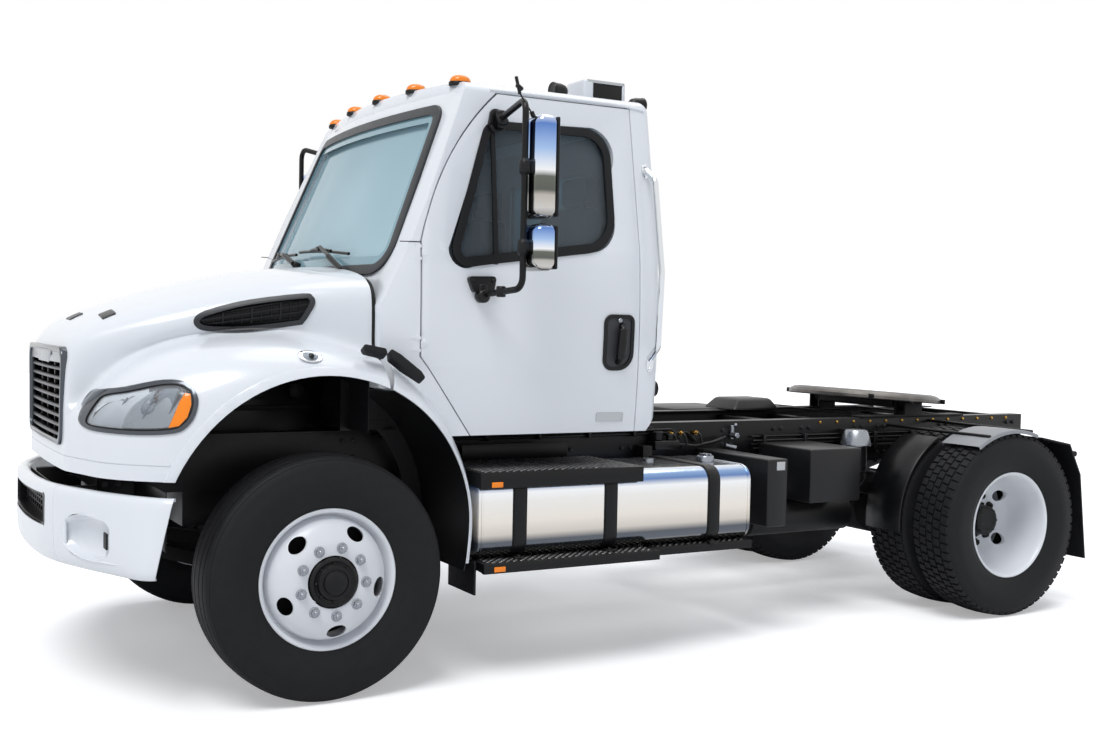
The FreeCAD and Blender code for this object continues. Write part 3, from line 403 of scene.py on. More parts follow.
def finish_material(name, colour, roughness, metallic=0.0, worn=None, wear=0.15, grain_mm=40.0,
                    bump=0.0, bump_mm=2.0, dust=0.0, bands=None, **sockets):
    """A finish whose colour varies a little over the piece, with a fine relief.

    colour is linear and worn a hex colour; grain_mm is the size of the colour's patches, bump_mm
    that of the relief, and dust the share of pale dust on faces that look up.  bands holds a low
    and a high Z and the hex colours from one to the other, as (share, colour): a painted
    reflection of sky, horizon and ground, laid into the colour by height.
    """
    material = bpy.data.materials.new(name)
    material.use_nodes = True
    tree = material.node_tree
    shader = tree.nodes["Principled BSDF"]
    place = add(tree, "ShaderNodeTexCoord").outputs["Object"]
    patches = add(tree, "ShaderNodeTexNoise", Vector=place, Scale=1000 / grain_mm, Detail=5.0)
    amount = add(tree, "ShaderNodeMath", {"operation": "MULTIPLY", "use_clamp": True},
                 i0=patches.outputs["Fac"], i1=wear * 2)
    mix = add(tree, "ShaderNodeMix", {"data_type": "RGBA"}, i0=amount.outputs[0],
              i6=list(colour), i7=linear(worn) if worn else list(colour))
    colour_out = mix.outputs[2]
    # painted reflection: colour by height in bands, standing in for sky, horizon and ground mirrored in
    # bright metal
    if bands:
        low, high, stops = bands
        height = add(tree, "ShaderNodeSeparateXYZ", Vector=place).outputs["Z"]
        share = add(tree, "ShaderNodeMapRange", Value=height, i1=low, i2=high)
        ramp = add(tree, "ShaderNodeValToRGB", Fac=share.outputs[0])
        for at, tone in stops[1:-1]:
            ramp.color_ramp.elements.new(at).color = linear(tone)
        ramp.color_ramp.elements[0].color = linear(stops[0][1])
        ramp.color_ramp.elements[-1].color = linear(stops[-1][1])
        # nine parts painted reflection to one part the finish's own colour
        colour_out = add(tree, "ShaderNodeMix", {"data_type": "RGBA"}, i0=0.1,
                         i6=ramp.outputs[0], i7=colour_out).outputs[2]
    if dust:
        normal = add(tree, "ShaderNodeNewGeometry").outputs["Normal"]
        up = add(tree, "ShaderNodeSeparateXYZ", Vector=normal).outputs["Z"]
        specks = add(tree, "ShaderNodeTexNoise", Vector=place, Scale=60.0, Detail=8.0)
        lying = add(tree, "ShaderNodeMath", {"operation": "MULTIPLY", "use_clamp": True},
                    i0=up, i1=specks.outputs["Fac"])
        lying = add(tree, "ShaderNodeMath", {"operation": "MULTIPLY", "use_clamp": True},
                    i0=lying.outputs[0], i1=dust)
        colour_out = add(tree, "ShaderNodeMix", {"data_type": "RGBA"}, i0=lying.outputs[0],
                         i6=colour_out, i7=linear("#8d8a84")).outputs[2]
    tree.links.new(colour_out, shader.inputs["Base Color"])
    spread = add(tree, "ShaderNodeMapRange", Value=patches.outputs["Fac"], i3=roughness * 0.85,
                 i4=min(1.0, roughness * 1.2))
    tree.links.new(spread.outputs[0], shader.inputs["Roughness"])
    shader.inputs["Metallic"].default_value = metallic
    if bump:
        relief = add(tree, "ShaderNodeTexNoise", Vector=place, Scale=1000 / bump_mm, Detail=3.0)
        lift = add(tree, "ShaderNodeBump", Strength=bump, Distance=0.001 * bump_mm,
                   Height=relief.outputs["Fac"])
        tree.links.new(lift.outputs[0], shader.inputs["Normal"])
    for key, value in sockets.items():
        shader.inputs[key.replace("_", " ")].default_value = value
    return material


# painted reflections of ground, horizon and sky, from the foot to the top of a bright piece, as (share,
# colour)
PAINTED_MIRROR_REFLECTION = [(0.0, "#6f6a64"), (0.10, "#c9c5bf"), (0.22, "#b5b0a6"), (0.27, "#3e4034"), (0.40, "#4d5142"),
           (0.46, "#f2f4f6"), (0.66, "#9dbdea"), (0.90, "#3f74c4"), (1.0, "#e8f0fa")]
PAINTED_TANK_REFLECTION = [(0.0, "#8d8a88"), (0.07, "#a9a5a0"), (0.12, "#4d535e"), (0.20, "#3f454f"), (0.29, "#cfc6bb"),
          (0.45, "#eae1d5"), (0.70, "#ece9e4"), (0.80, "#f4f5f6"), (0.88, "#4f77b4"), (0.94, "#7fa2d2"),
          (1.0, "#eef3f9")]


def make_materials(colours):
    """Every finish of the vehicle, by the name of what it really is."""
    # name: colour, roughness, and the rest of finish_material's values
    table = {
        # sprayed two-pack enamel: clean, glossy, a faint waviness in its reflections
        "white_enamel": (colours.paint, 0.24, dict(worn="#dadee3", grain_mm=700.0, bump=0.02,
                                                   bump_mm=30.0, Coat_Weight=0.5, Coat_Roughness=0.05)),
        # brushed-on chassis paint: half gloss, road dust on its upper faces
        "black_enamel": (colours.chassis, 0.34, dict(worn="#121315", grain_mm=120.0, bump=0.12,
                                                     bump_mm=5.0, dust=0.12,
                                                     Specular_IOR_Level=0.25)),
        # baked enamel on pressed steel wheels: white, a little dusty
        "wheel_enamel": (colours.wheel, 0.3, dict(worn="#c9ccd0", grain_mm=90.0, wear=0.2)),
        # vulcanised tread rubber: dull black with grey bloom
        "tyre_rubber": (colours.tyre, 0.6, dict(worn="#262728", grain_mm=45.0, wear=0.3, bump=0.3,
                                                bump_mm=1.6, Specular_IOR_Level=0.2)),
        # bright chromium plate: mirror with a cold tint
        "chrome_plate": (linear("#e2e5e8"), 0.05, dict(metallic=1.0, worn="#c4c8cc", grain_mm=300.0)),
        # smoked chromium plate of the grille: mirror with a grey tint
        "dark_chrome": (linear("#5a5e64"), 0.16, dict(metallic=1.0, worn="#3f4246", grain_mm=90.0)),
        "smoked_chrome": (linear("#2f3236"), 0.3, dict(metallic=1.0, worn="#26282b", grain_mm=90.0)),
        "satin_chrome": (linear("#b4b7ba"), 0.28, dict(metallic=1.0, worn="#a3a6aa", grain_mm=200.0)),
        # chromium plate of the mirror heads: painted reflections of sky, horizon and road, layered by height
        "head_chrome_painted_reflection": (linear("#e2e5e8"), 0.05, dict(metallic=1.0, bands=(2.045, 2.486, PAINTED_MIRROR_REFLECTION))),
        "wide_chrome_painted_reflection": (linear("#e2e5e8"), 0.05, dict(metallic=1.0, bands=(1.822, 2.026, PAINTED_MIRROR_REFLECTION))),
        # polished aluminium of the tank: painted reflections of ground, horizon and sky by height, with a
        # blue band of painted sky under its upper edge
        "tank_aluminium_painted_reflection": (linear("#dfe1e3"), 0.16, dict(metallic=1.0, worn="#bfc3c8", bump=0.02,
                                                         bump_mm=60.0, bands=(0.541, 0.911, PAINTED_TANK_REFLECTION))),
        "worn_steel": (linear("#9a9b9c"), 0.4, dict(metallic=0.7, worn="#3a3a3a", wear=0.7,
                                                    grain_mm=30.0)),
        "zinc_dull": (linear("#3a3b3d"), 0.45, dict(metallic=0.6, worn="#1c1c1d", wear=0.6,
                                                    grain_mm=9.0)),
        # powder coat of the boxes: deep black with a soft sheen
        "black_satin": (linear("#0b0c0e"), 0.38, dict(worn="#151618", grain_mm=120.0, dust=0.10,
                                                      Specular_IOR_Level=0.35)),
        # silvered glass of the mirrors
        "mirror_glass": (linear("#c9d2da"), 0.02, dict(metallic=1.0, grain_mm=200.0)),
        # polished aluminium sheet: bright, softly smeared reflections
        "polished_aluminium": (linear("#dfe1e3"), 0.13, dict(metallic=1.0, worn="#bfc3c8",
                                                             grain_mm=150.0, bump=0.015, bump_mm=60.0)),
        # greased and scuffed steel: dark with dull shine
        "greased_steel": (linear("#85817d"), 0.34, dict(metallic=0.85, worn="#2b2927", wear=0.45,
                                                        grain_mm=70.0, bump=0.15, bump_mm=8.0)),
        # sand-cast iron, painted over: rough and nearly black
        "cast_iron": (linear("#0c0c0d"), 0.5, dict(worn="#1b1b1c", bump=0.5, bump_mm=4.0, dust=0.1,
                                                     Specular_IOR_Level=0.2)),
        # moulded weather-strip rubber: matt, slightly grey
        "black_rubber": (linear("#0c0d0f"), 0.5, dict(worn="#16171a", bump=0.15, bump_mm=2.0,
                                                        Specular_IOR_Level=0.25)),
        # grey moulded rubber round the windscreen
        "grey_rubber": (linear("#1d2024"), 0.42, dict(worn="#2b2e34", bump=0.1, bump_mm=3.0)),
        # strip round the windscreen inside its rubber: glossy, blue-grey like the glass beside it, a painted
        # sky reflection that makes it read as glass
        "glass_border": (linear("#7fa0aa"), 0.06, dict(worn="#8cadb6", grain_mm=200.0)),
        # grained cab plastic: dull, leather-like relief
        "grained_plastic": (linear("#2b2d31"), 0.55, dict(worn="#383b40", bump=0.3, bump_mm=1.2)),
        # gloss black moulded plastic of brackets and handles
        "black_plastic": (linear("#090a0b"), 0.3, dict(worn="#111214", bump=0.05, bump_mm=3.0,
                                                       Specular_IOR_Level=0.3)),
        # woven seat cloth: dull, with its threads standing out
        "seat_fabric": (linear("#2b2d32"), 0.9, dict(worn="#3d4047", bump=0.5, bump_mm=1.5,
                                                     Sheen_Weight=0.3)),
        # clear amber polycarbonate of the lamps
        "amber_lens": (linear("#ff8b0a"), 0.15, dict(worn="#f07a08")),
        # grey painted sheet steel and plated fittings
        "grey_sheet": (linear("#8e9094"), 0.5, dict(worn="#77797c", grain_mm=80.0, dust=0.3)),
        "zinc_plate": (linear("#9a9ea5"), 0.26, dict(metallic=0.9, worn="#85898f", grain_mm=12.0)),
        "brass": (linear("#c39a52"), 0.3, dict(metallic=1.0, worn="#8a6a33", grain_mm=10.0)),
        "headliner": (linear("#9aa0a6"), 0.9, dict(worn="#8b9197", bump=0.2, bump_mm=3.0)),
    }
    for name, (colour, roughness, more) in table.items():
        FINISHES[name] = finish_material(name, colour, roughness, **more)
    FINISHES["clear_lens"] = glass_material("clear_lens", "#f4f6f8", 0.08)
    FINISHES["door_glass"] = glass_material("door_glass", "#dbe5ea", 0.09)
    # the windscreen lies flatter and holds more of the sky: a larger share of painted sky reflection, leaning
    # towards the left side
    FINISHES["windscreen_glass"] = glass_material("windscreen_glass", "#c4e2ea", 0.62, 0.14, 0.5)


def glass_material(name, tint, gloss, least_painted_reflection=0.02, painted_reflection_lean=0.0):
    """Thin glass: light passes straight through with a tint, and the surface mirrors at a slant.

    veil and gloss set the least and most share of a pale tinted surface laid over the glass, a
    painted sky reflection in random patches, and leaning how far it grows from the right side of
    the vehicle to the left.
    """
    material = bpy.data.materials.new(name)
    material.use_nodes = True
    tree = material.node_tree
    tree.nodes.clear()
    clear = add(tree, "ShaderNodeBsdfTransparent", Color=linear(tint))
    shine = add(tree, "ShaderNodeBsdfPrincipled", Base_Color=linear(tint), Roughness=0.03,
                Metallic=0.0)
    edge = add(tree, "ShaderNodeFresnel", IOR=1.5)
    # painted sky reflection: a pale tinted surface mixed over the glass in random patches, on the windscreen
    # growing from right to left; the Fresnel share is real
    painted_reflection_patches = add(tree, "ShaderNodeTexNoise", Scale=1.2, Detail=1.0)
    place = add(tree, "ShaderNodeTexCoord")
    tree.links.new(place.outputs["Object"], painted_reflection_patches.inputs["Vector"])
    side = add(tree, "ShaderNodeSeparateXYZ", Vector=place.outputs["Object"]).outputs["Y"]
    painted_reflection_spread = add(tree, "ShaderNodeMath", {"operation": "MULTIPLY_ADD"}, i0=side, i1=painted_reflection_lean,
                     i2=painted_reflection_patches.outputs["Fac"])
    painted_reflection_share = add(tree, "ShaderNodeMapRange", Value=painted_reflection_spread.outputs[0], i3=least_painted_reflection, i4=gloss)
    share = add(tree, "ShaderNodeMath", {"operation": "ADD", "use_clamp": True}, i0=edge.outputs[0],
                i1=painted_reflection_share.outputs[0])
    mix = add(tree, "ShaderNodeMixShader", i0=share.outputs[0], i1=clear.outputs[0],
              i2=shine.outputs[0])
    output = add(tree, "ShaderNodeOutputMaterial")
    tree.links.new(mix.outputs[0], output.inputs["Surface"])
    return material


NODE_FINISH = {
    "white_enamel": ["front_bumper", "left_door", "right_door", "cab_roof", "cab_rear",
                     "cab_cowl", "hood_shell", "fender_extensions"],
    "black_enamel": ["frame_rails", "leaf_springs", "rear_axle", "tie_rod", "step_brackets",
                     "cab_steps", "side_boxes", "cab_floor", "air_tanks", "fifth_wheel_base", "tank_straps"],
    "wheel_enamel": ["left_front_wheel", "right_front_wheel", "left_rear_wheels", "right_rear_wheels"],
    "tyre_rubber": ["left_front_tyre", "right_front_tyre", "left_rear_tyres", "right_rear_tyres"],
    "door_glass": ["left_door_glass", "right_door_glass"],
    "windscreen_glass": ["cab_glass"],
    "chrome_plate": ["grille", "headlights", "left_mirror", "right_mirror", "grab_handles"],
    "polished_aluminium": ["fuel_tank", "radiator"],
    "greased_steel": ["fifth_wheel_plate", "exhaust"],
    "cast_iron": ["front_axle_beam", "engine_block", "driveline", "left_knuckle", "right_knuckle"],
    "black_rubber": ["mudflaps", "rear_fenders"],
    "grained_plastic": ["steering_wheel", "dashboard"],
    "seat_fabric": ["seats"],
    "amber_lens": ["roof_lamps"],
}


def paint_frame():
    for material, nodes in NODE_FINISH.items():
        for name in nodes:
            slots = frame["nodes"][name].data.materials
            slots.clear()
            slots.append(FINISHES[material])


# ---- sizes and colours that a user would change -----------------------------------------------
def colour_of(name, hex_colour, about):
    """A colour property that starts from an sRGB hex colour."""
    return bpy.props.FloatVectorProperty(name=name, description=about, subtype="COLOR", size=4,
                                         min=0, max=1, default=linear(hex_colour))


def length(name, millimetres, about):
    """A length property; the default is given in millimetres."""
    return bpy.props.FloatProperty(name=name, description=about, unit="LENGTH", min=0.0,
                                   default=millimetres / 1000)


class TractorColours(bpy.types.PropertyGroup):
    """Paint colours of the vehicle."""
    paint: colour_of("Cab paint", "#e4e7eb", "Enamel of the cab, hood, fenders and bumper")
    chassis: colour_of("Chassis paint", "#08090a", "Enamel of the rails, steps and brackets")
    wheel: colour_of("Wheel paint", "#e2e4e8", "Enamel of the disc wheels")
    tyre: colour_of("Tyre rubber", "#101113", "Rubber of the treads and side walls")


class TractorSizes(bpy.types.PropertyGroup):
    """Sizes of the trim that a fleet would choose."""
    hood_skin: length("Hood wall", 12, "Thickness of the moulded hood")
    arch_lip: length("Arch lip", 38, "Width of the raised lip round the front wheel arch")
    bezel: length("Headlight bezel", 14, "Width of the bright ring round a headlight")
    window_rubber: length("Window rubber", 30, "Width of the rubber round the door's window")
    screen_rubber: length("Windscreen rubber", 46, "Width of the rubber round the windscreen")
    tread_depth: length("Tread depth", 12, "Depth of the tyres' grooves")
    nut_radius: length("Nut radius", 19, "Radius over the corners of a wheel nut")
    strap_width: length("Tank strap", 60, "Width of the straps round the fuel tank")
    step_punch: length("Step punching", 15, "Radius of the raised holes in the steps")
    slats: bpy.props.IntProperty(name="Grille slats", description="Slats across the grille",
                                 default=8, min=2, max=20)


def sizes():
    return bpy.context.scene.tractor_sizes


# ---- hood -------------------------------------------------------------------------------------
# Half-sections from nose to cowl: X, height of the middle, then (Y, Z) of the shoulder, the crease
# where the bonnet's side meets the fender, and six points over the fender and down its side.
HOOD_SECTIONS = [
    (2.915, 1.440, (.455, 1.395), (.475, 1.210), (.480, 1.180), (.485, 1.140), (.490, 1.100),
     (.495, 1.060), (.498, 1.010), (.500, .941)),
    (2.904, 1.505, (.490, 1.437), (.498, 1.205), (.515, 1.185), (.535, 1.155), (.550, 1.115),
     (.560, 1.070), (.565, 1.010), (.565, .941)),
    (2.875, 1.550, (.512, 1.468), (.502, 1.200), (.545, 1.205), (.600, 1.185), (.640, 1.140),
     (.665, 1.080), (.672, 1.010), (.670, .941)),
    (2.825, 1.587, (.532, 1.498), (.512, 1.240), (.590, 1.250), (.675, 1.235), (.740, 1.185),
     (.782, 1.110), (.795, 1.020), (.790, .941)),
    (2.760, 1.617, (.560, 1.527), (.540, 1.330), (.640, 1.330), (.750, 1.305), (.835, 1.245),
     (.885, 1.150), (.900, 1.040), (.895, .941)),
    (2.676, 1.650, (.600, 1.556), (.577, 1.402), (.690, 1.395), (.820, 1.360), (.910, 1.285),
     (.965, 1.180), (.985, 1.050), (.980, .941)),
    (2.580, 1.685, (.650, 1.583), (.615, 1.455), (.740, 1.445), (.880, 1.405), (.980, 1.325),
     (1.035, 1.210), (1.055, 1.070), (1.050, .941)),
    (2.486, 1.716, (.690, 1.610), (.656, 1.491), (.790, 1.475), (.925, 1.430), (1.025, 1.350),
     (1.080, 1.235), (1.100, 1.090), (1.095, .941)),
    (2.293, 1.773, (.765, 1.660), (.729, 1.529), (.860, 1.508), (.980, 1.463), (1.070, 1.390),
     (1.120, 1.285), (1.140, 1.130), (1.140, .941)),
    (2.096, 1.820, (.833, 1.705), (.800, 1.541), (.915, 1.515), (1.020, 1.470), (1.100, 1.400),
     (1.143, 1.305), (1.155, 1.160), (1.155, .941)),
    (1.894, 1.847, (.890, 1.735), (.864, 1.510), (.960, 1.490), (1.050, 1.450), (1.115, 1.385),
     (1.150, 1.295), (1.155, 1.160), (1.155, .941)),
    (1.741, 1.859, (.916, 1.749), (.911, 1.461), (.985, 1.450), (1.055, 1.420), (1.115, 1.365),
     (1.150, 1.285), (1.155, 1.160), (1.155, .941)),
    (1.698, 1.861, (.920, 1.751), (.924, 1.447), (.993, 1.437), (1.058, 1.410), (1.117, 1.357),
     (1.150, 1.280), (1.155, 1.160), (1.155, .941)),
]
# outlines in X and Z, seen from the side
VENT = [(2.420, 1.575), (2.406, 1.607), (2.348, 1.635), (2.203, 1.676), (1.990, 1.708),
        (1.954, 1.698), (1.945, 1.671), (1.963, 1.628), (1.988, 1.584), (2.013, 1.573),
        (2.201, 1.545), (2.338, 1.540), (2.396, 1.549)]
HEADLIGHT = [(2.864, 1.160), (2.851, 1.205), (2.816, 1.265), (2.783, 1.291), (2.720, 1.309),
             (2.622, 1.338), (2.554, 1.344), (2.509, 1.324), (2.489, 1.274), (2.504, 1.209),
             (2.534, 1.164), (2.578, 1.138), (2.687, 1.127), (2.797, 1.128), (2.847, 1.134)]
NOSE_BOW = 0.05                     # how far the nose falls back, by the square of Y
GRILLE_LOW = (0.453, 1.041)         # half-width at a height
GRILLE_HIGH = (0.481, 1.462)


def half_section(section):
    """Points down one side of the hood, from the middle of its top to its foot."""
    _, top, (sy, sz), (cy, cz), *fender = section
    drop = top - sz
    return ([(0, top), (sy * 0.5, top - drop * 0.14), (sy * 0.83, top - drop * 0.46),
             (sy * 0.965, sz + 0.012), (sy + 0.004, sz - 0.05),
             (sy * 0.4 + cy * 0.6, sz * 0.4 + cz * 0.6 - 0.02), (cy, cz + 0.022), (cy + 0.03, cz - 0.004)]
            + [(y, z) for y, z in fender])


def hood_row(section):
    x = section[0]
    half = half_section(section)
    bow = NOSE_BOW if x > 2.87 else 0.0
    whole = [(-y, z) for y, z in half[:0:-1]] + half
    return [(x - bow * y * y, y, z) for y, z in whole]


def hood_form():
    """The hood's outer surface, closed across the nose, with no thickness yet."""
    rows = []
    nose = hood_row(HOOD_SECTIONS[0])
    for share in (0.0, 0.4, 0.75, 0.93):
        rows.append([(2.9165 - NOSE_BOW * (y * share) ** 2, y * share, HOOD_BASE + (z - HOOD_BASE) * share)
                     for _, y, z in nose])
    rows += [hood_row(section) for section in HOOD_SECTIONS]
    form = outward(merged(sheet(rows)))
    return modify(form, "SUBSURF", levels=2, render_levels=2)


def layer(form, out, thick, box_x=(-9, 9), box_z=(-9, 9), side=0):
    """Part of the form's surface moved outwards and given a thickness, both in millimetres."""
    piece = copied(form)

    def far(centre, _):
        return not (box_x[0] < centre.x < box_x[1] and box_z[0] < centre.z < box_z[1]
                    and centre.y * side >= 0)

    with editing(piece, far):
        bpy.ops.mesh.delete(type="FACE")
    return raised(piece, out, thick)


def side_prism(points, y=(0.4, 1.3), bend=0.0, grow=0.0):
    """Cutter through one side of the hood; grow widens its outline."""
    middle = Vector((sum(p[0] for p in points), 0, sum(p[1] for p in points))) / len(points)
    ring = []
    for x, z in points:
        place = Vector((x, 0, z))
        ring.append(place + (place - middle).normalized() * grow)
    ring = [Vector((p.x, y[0], p.z)) for p in (rounded_outline(ring, bend) if bend else ring)]
    return prism(ring, (0, y[1] - y[0], 0))


def smooth_ring(points, grow=0.0, count=48):
    """Closed flowing outline through X and Z points, moved outwards by grow."""
    n = len(points)
    steps = max(1, count // n)
    ring = []
    for i in range(n):
        a, b, c, d = (Vector(points[(i + k) % n]) for k in (-1, 0, 1, 2))
        for t in (step / steps for step in range(steps)):
            ring.append(0.5 * ((2 * b) + (c - a) * t + (2 * a - 5 * b + 4 * c - d) * t * t
                               + (3 * b - a - 3 * c + d) * t ** 3))
    return grown(ring, grow)


def both_sides(tool):
    """The tool and its image on the right, as one cutter."""
    return joined([tool, copied(tool, FLIP)])


def grille_prism(grow=0.0, x=(2.80, 3.0)):
    (wl, zl), (wh, zh) = GRILLE_LOW, GRILLE_HIGH
    ring = rounded_outline([(x[0], -wl - grow, zl - grow), (x[0], -wh - grow, zh + grow),
                            (x[0], wh + grow, zh + grow), (x[0], wl + grow, zl - grow)], 0.055, 5)
    return prism(ring, (x[1] - x[0], 0, 0))


def arch_drum(radius, y=(-1.4, 1.4), steps=96):
    """Cylinder round the centre of the front wheel arch."""
    x, z = ARCH_CENTRE
    return lathe([(0, y[0]), (radius, y[0]), (radius, y[1]), (0, y[1])], (x, 0, z), "Y", steps)


class TRACTOR_OT_hood(bpy.types.Operator):
    """Moulded tilting hood with fenders, arch lips, seams and side vents"""
    bl_idname = "tractor.hood"
    bl_label = "Hood"

    def execute(self, context):
        form = hood_form()
        lamp = smooth_ring(HEADLIGHT, 0.0)
        vent = smooth_ring(VENT, -0.004)
        hood = layer(form, 0, sizes().hood_skin * 1000)
        combine(hood, arch_drum(ARCH_RADIUS))
        combine(hood, joined([both_sides(side_prism(lamp)), both_sides(side_prism(vent, (0.5, 1.0))),
                              grille_prism()]))
        seam = layer(form, 4, 7, box_x=(2.3, 2.95), box_z=(0.9, 1.06))
        groove = combine(block((2.2, 3.0), (-1.3, 1.3), (1.003, 1.0065), 0), seam, "INTERSECT")
        combine(hood, groove)
        finish(hood, "hood_skin", "white_enamel", "hood", ("hood_shell",), 32)

        lip_width = sizes().arch_lip
        tools = combine(arch_drum(ARCH_RADIUS + lip_width, (0.9, 1.3)),
                        arch_drum(ARCH_RADIUS + 0.0005, (0.8, 1.4)))
        lip = layer(form, 5, 9, box_x=(1.69, 2.75), box_z=(0.9, 1.5), side=1)
        lip = soften(combine(lip, tools, "INTERSECT"), 3, 2, 40)
        finish_pair(lip, "arch_lip", "white_enamel", "hood", angle=50)

        # vent: rounded grey frame and a mesh of bars behind it
        frame_tool = combine(side_prism(smooth_ring(VENT, 0.002), (0.5, 1.0)),
                             side_prism(smooth_ring(VENT, -0.020), (0.4, 1.1)))
        rim = layer(form, 7, 22, box_x=(1.85, 2.5), box_z=(1.45, 1.78), side=1)
        rim = soften(combine(rim, frame_tool, "INTERSECT"), 5, 3, 40)
        finish_pair(rim, "vent_frame", "grey_rubber", "hood", angle=60)
        back = layer(form, -16, 4, box_x=(1.85, 2.5), box_z=(1.45, 1.78), side=1)
        combine(back, side_prism(smooth_ring(VENT, -0.006), (0.4, 1.1)), "INTERSECT")
        finish_pair(back, "vent_back", "black_rubber", "hood")
        bars = []
        for i in range(1, 6):
            t = i / 6
            low, high = (2.42, 1.50 + 0.115 * t), (1.93, 1.55 + 0.175 * t)
            bars.append(side_prism([low, high, (high[0], high[1] + 0.006), (low[0], low[1] + 0.006)],
                                   (0.4, 1.1)))
        for i in range(1, 13):
            x = 2.42 - 0.038 * i
            wide = 0.008 if i % 3 == 0 else 0.003
            bars.append(block((x - wide / 2, x + wide / 2), (0.45, 1.05), (1.4, 1.8), 0))
        mesh = layer(form, -6, 8, box_x=(1.85, 2.5), box_z=(1.45, 1.78), side=1)
        combine(mesh, side_prism(smooth_ring(VENT, -0.012), (0.4, 1.1)), "INTERSECT")
        parts = []
        for bar in bars:
            parts.append(combine(bar, mesh, "INTERSECT", keep=True))
        bpy.data.objects.remove(mesh)
        finish_pair(joined(parts), "vent_bars", "black_plastic", "hood")

        # hinge lugs inside the nose
        lug = lathe([(0.0151, -0.02), (0.026, -0.02), (0.026, 0.02), (0.0151, 0.02)],
                    (2.840, 0.340, 0.978), "Y", 32)
        arm = block((2.862, 2.905), (0.320, 0.360), (0.963, 1.002), 3)
        finish_pair(joined([lug, arm]), "hood_lug", "black_enamel", "hood")
        self.marker(form)
        self.nose_vents(form)
        bpy.data.objects.remove(form)
        return {"FINISHED"}

    def marker(self, form):
        """Oval turn lamp on each fender."""
        ring = [(2.023 + 0.050 * math.cos(a), 1.446 + 0.024 * math.sin(a))
                for a in (math.tau * i / 32 for i in range(32))]
        base = layer(form, 8, 12, box_x=(1.9, 2.15), box_z=(1.3, 1.56), side=1)
        lens = combine(copied(base), side_prism([(2.023 + (x - 2.023) * 0.62, 1.446 + (z - 1.446) * 0.72)
                                                 for x, z in ring], (0.8, 1.3)), "INTERSECT")
        combine(base, side_prism(ring, (0.8, 1.3)), "INTERSECT")
        finish_pair(soften(base, 4, 3, 40), "turn_lamp_bezel", "chrome_plate", "hood")
        modify(lens, "DISPLACE", strength=0.0025, mid_level=0.0)
        finish_pair(soften(lens, 2, 2, 40), "turn_lamp_lens", "clear_lens", "hood")
        bulb = lathe([(0, -0.004), (0.011, -0.004), (0.012, 0.004), (0.007, 0.008), (0, 0.009)],
                     axis="Z", steps=24)
        place = Matrix.Translation((2.023, 1.066, 1.447)) @ Matrix.Rotation(math.radians(-48), 4, "X")
        finish_pair(placed(bulb, place), "turn_lamp_bulb", "black_plastic", "hood")

    def nose_vents(self, form):
        """Two small black scoops near the front of the bonnet's top."""
        for name, x, y in (("near", 2.800, 0.10), ("far", 2.715, 0.40)):
            pad = layer(form, 4, 10, box_x=(x - 0.1, x + 0.1), box_z=(1.45, 1.75))
            tool = block((x - 0.026, x + 0.030), (y - 0.055, y + 0.055), (1.4, 1.8), 6)
            combine(pad, tool, "INTERSECT")
            finish(soften(pad, 2, 2, 40), name + "_washer_cover", "black_plastic", "hood")


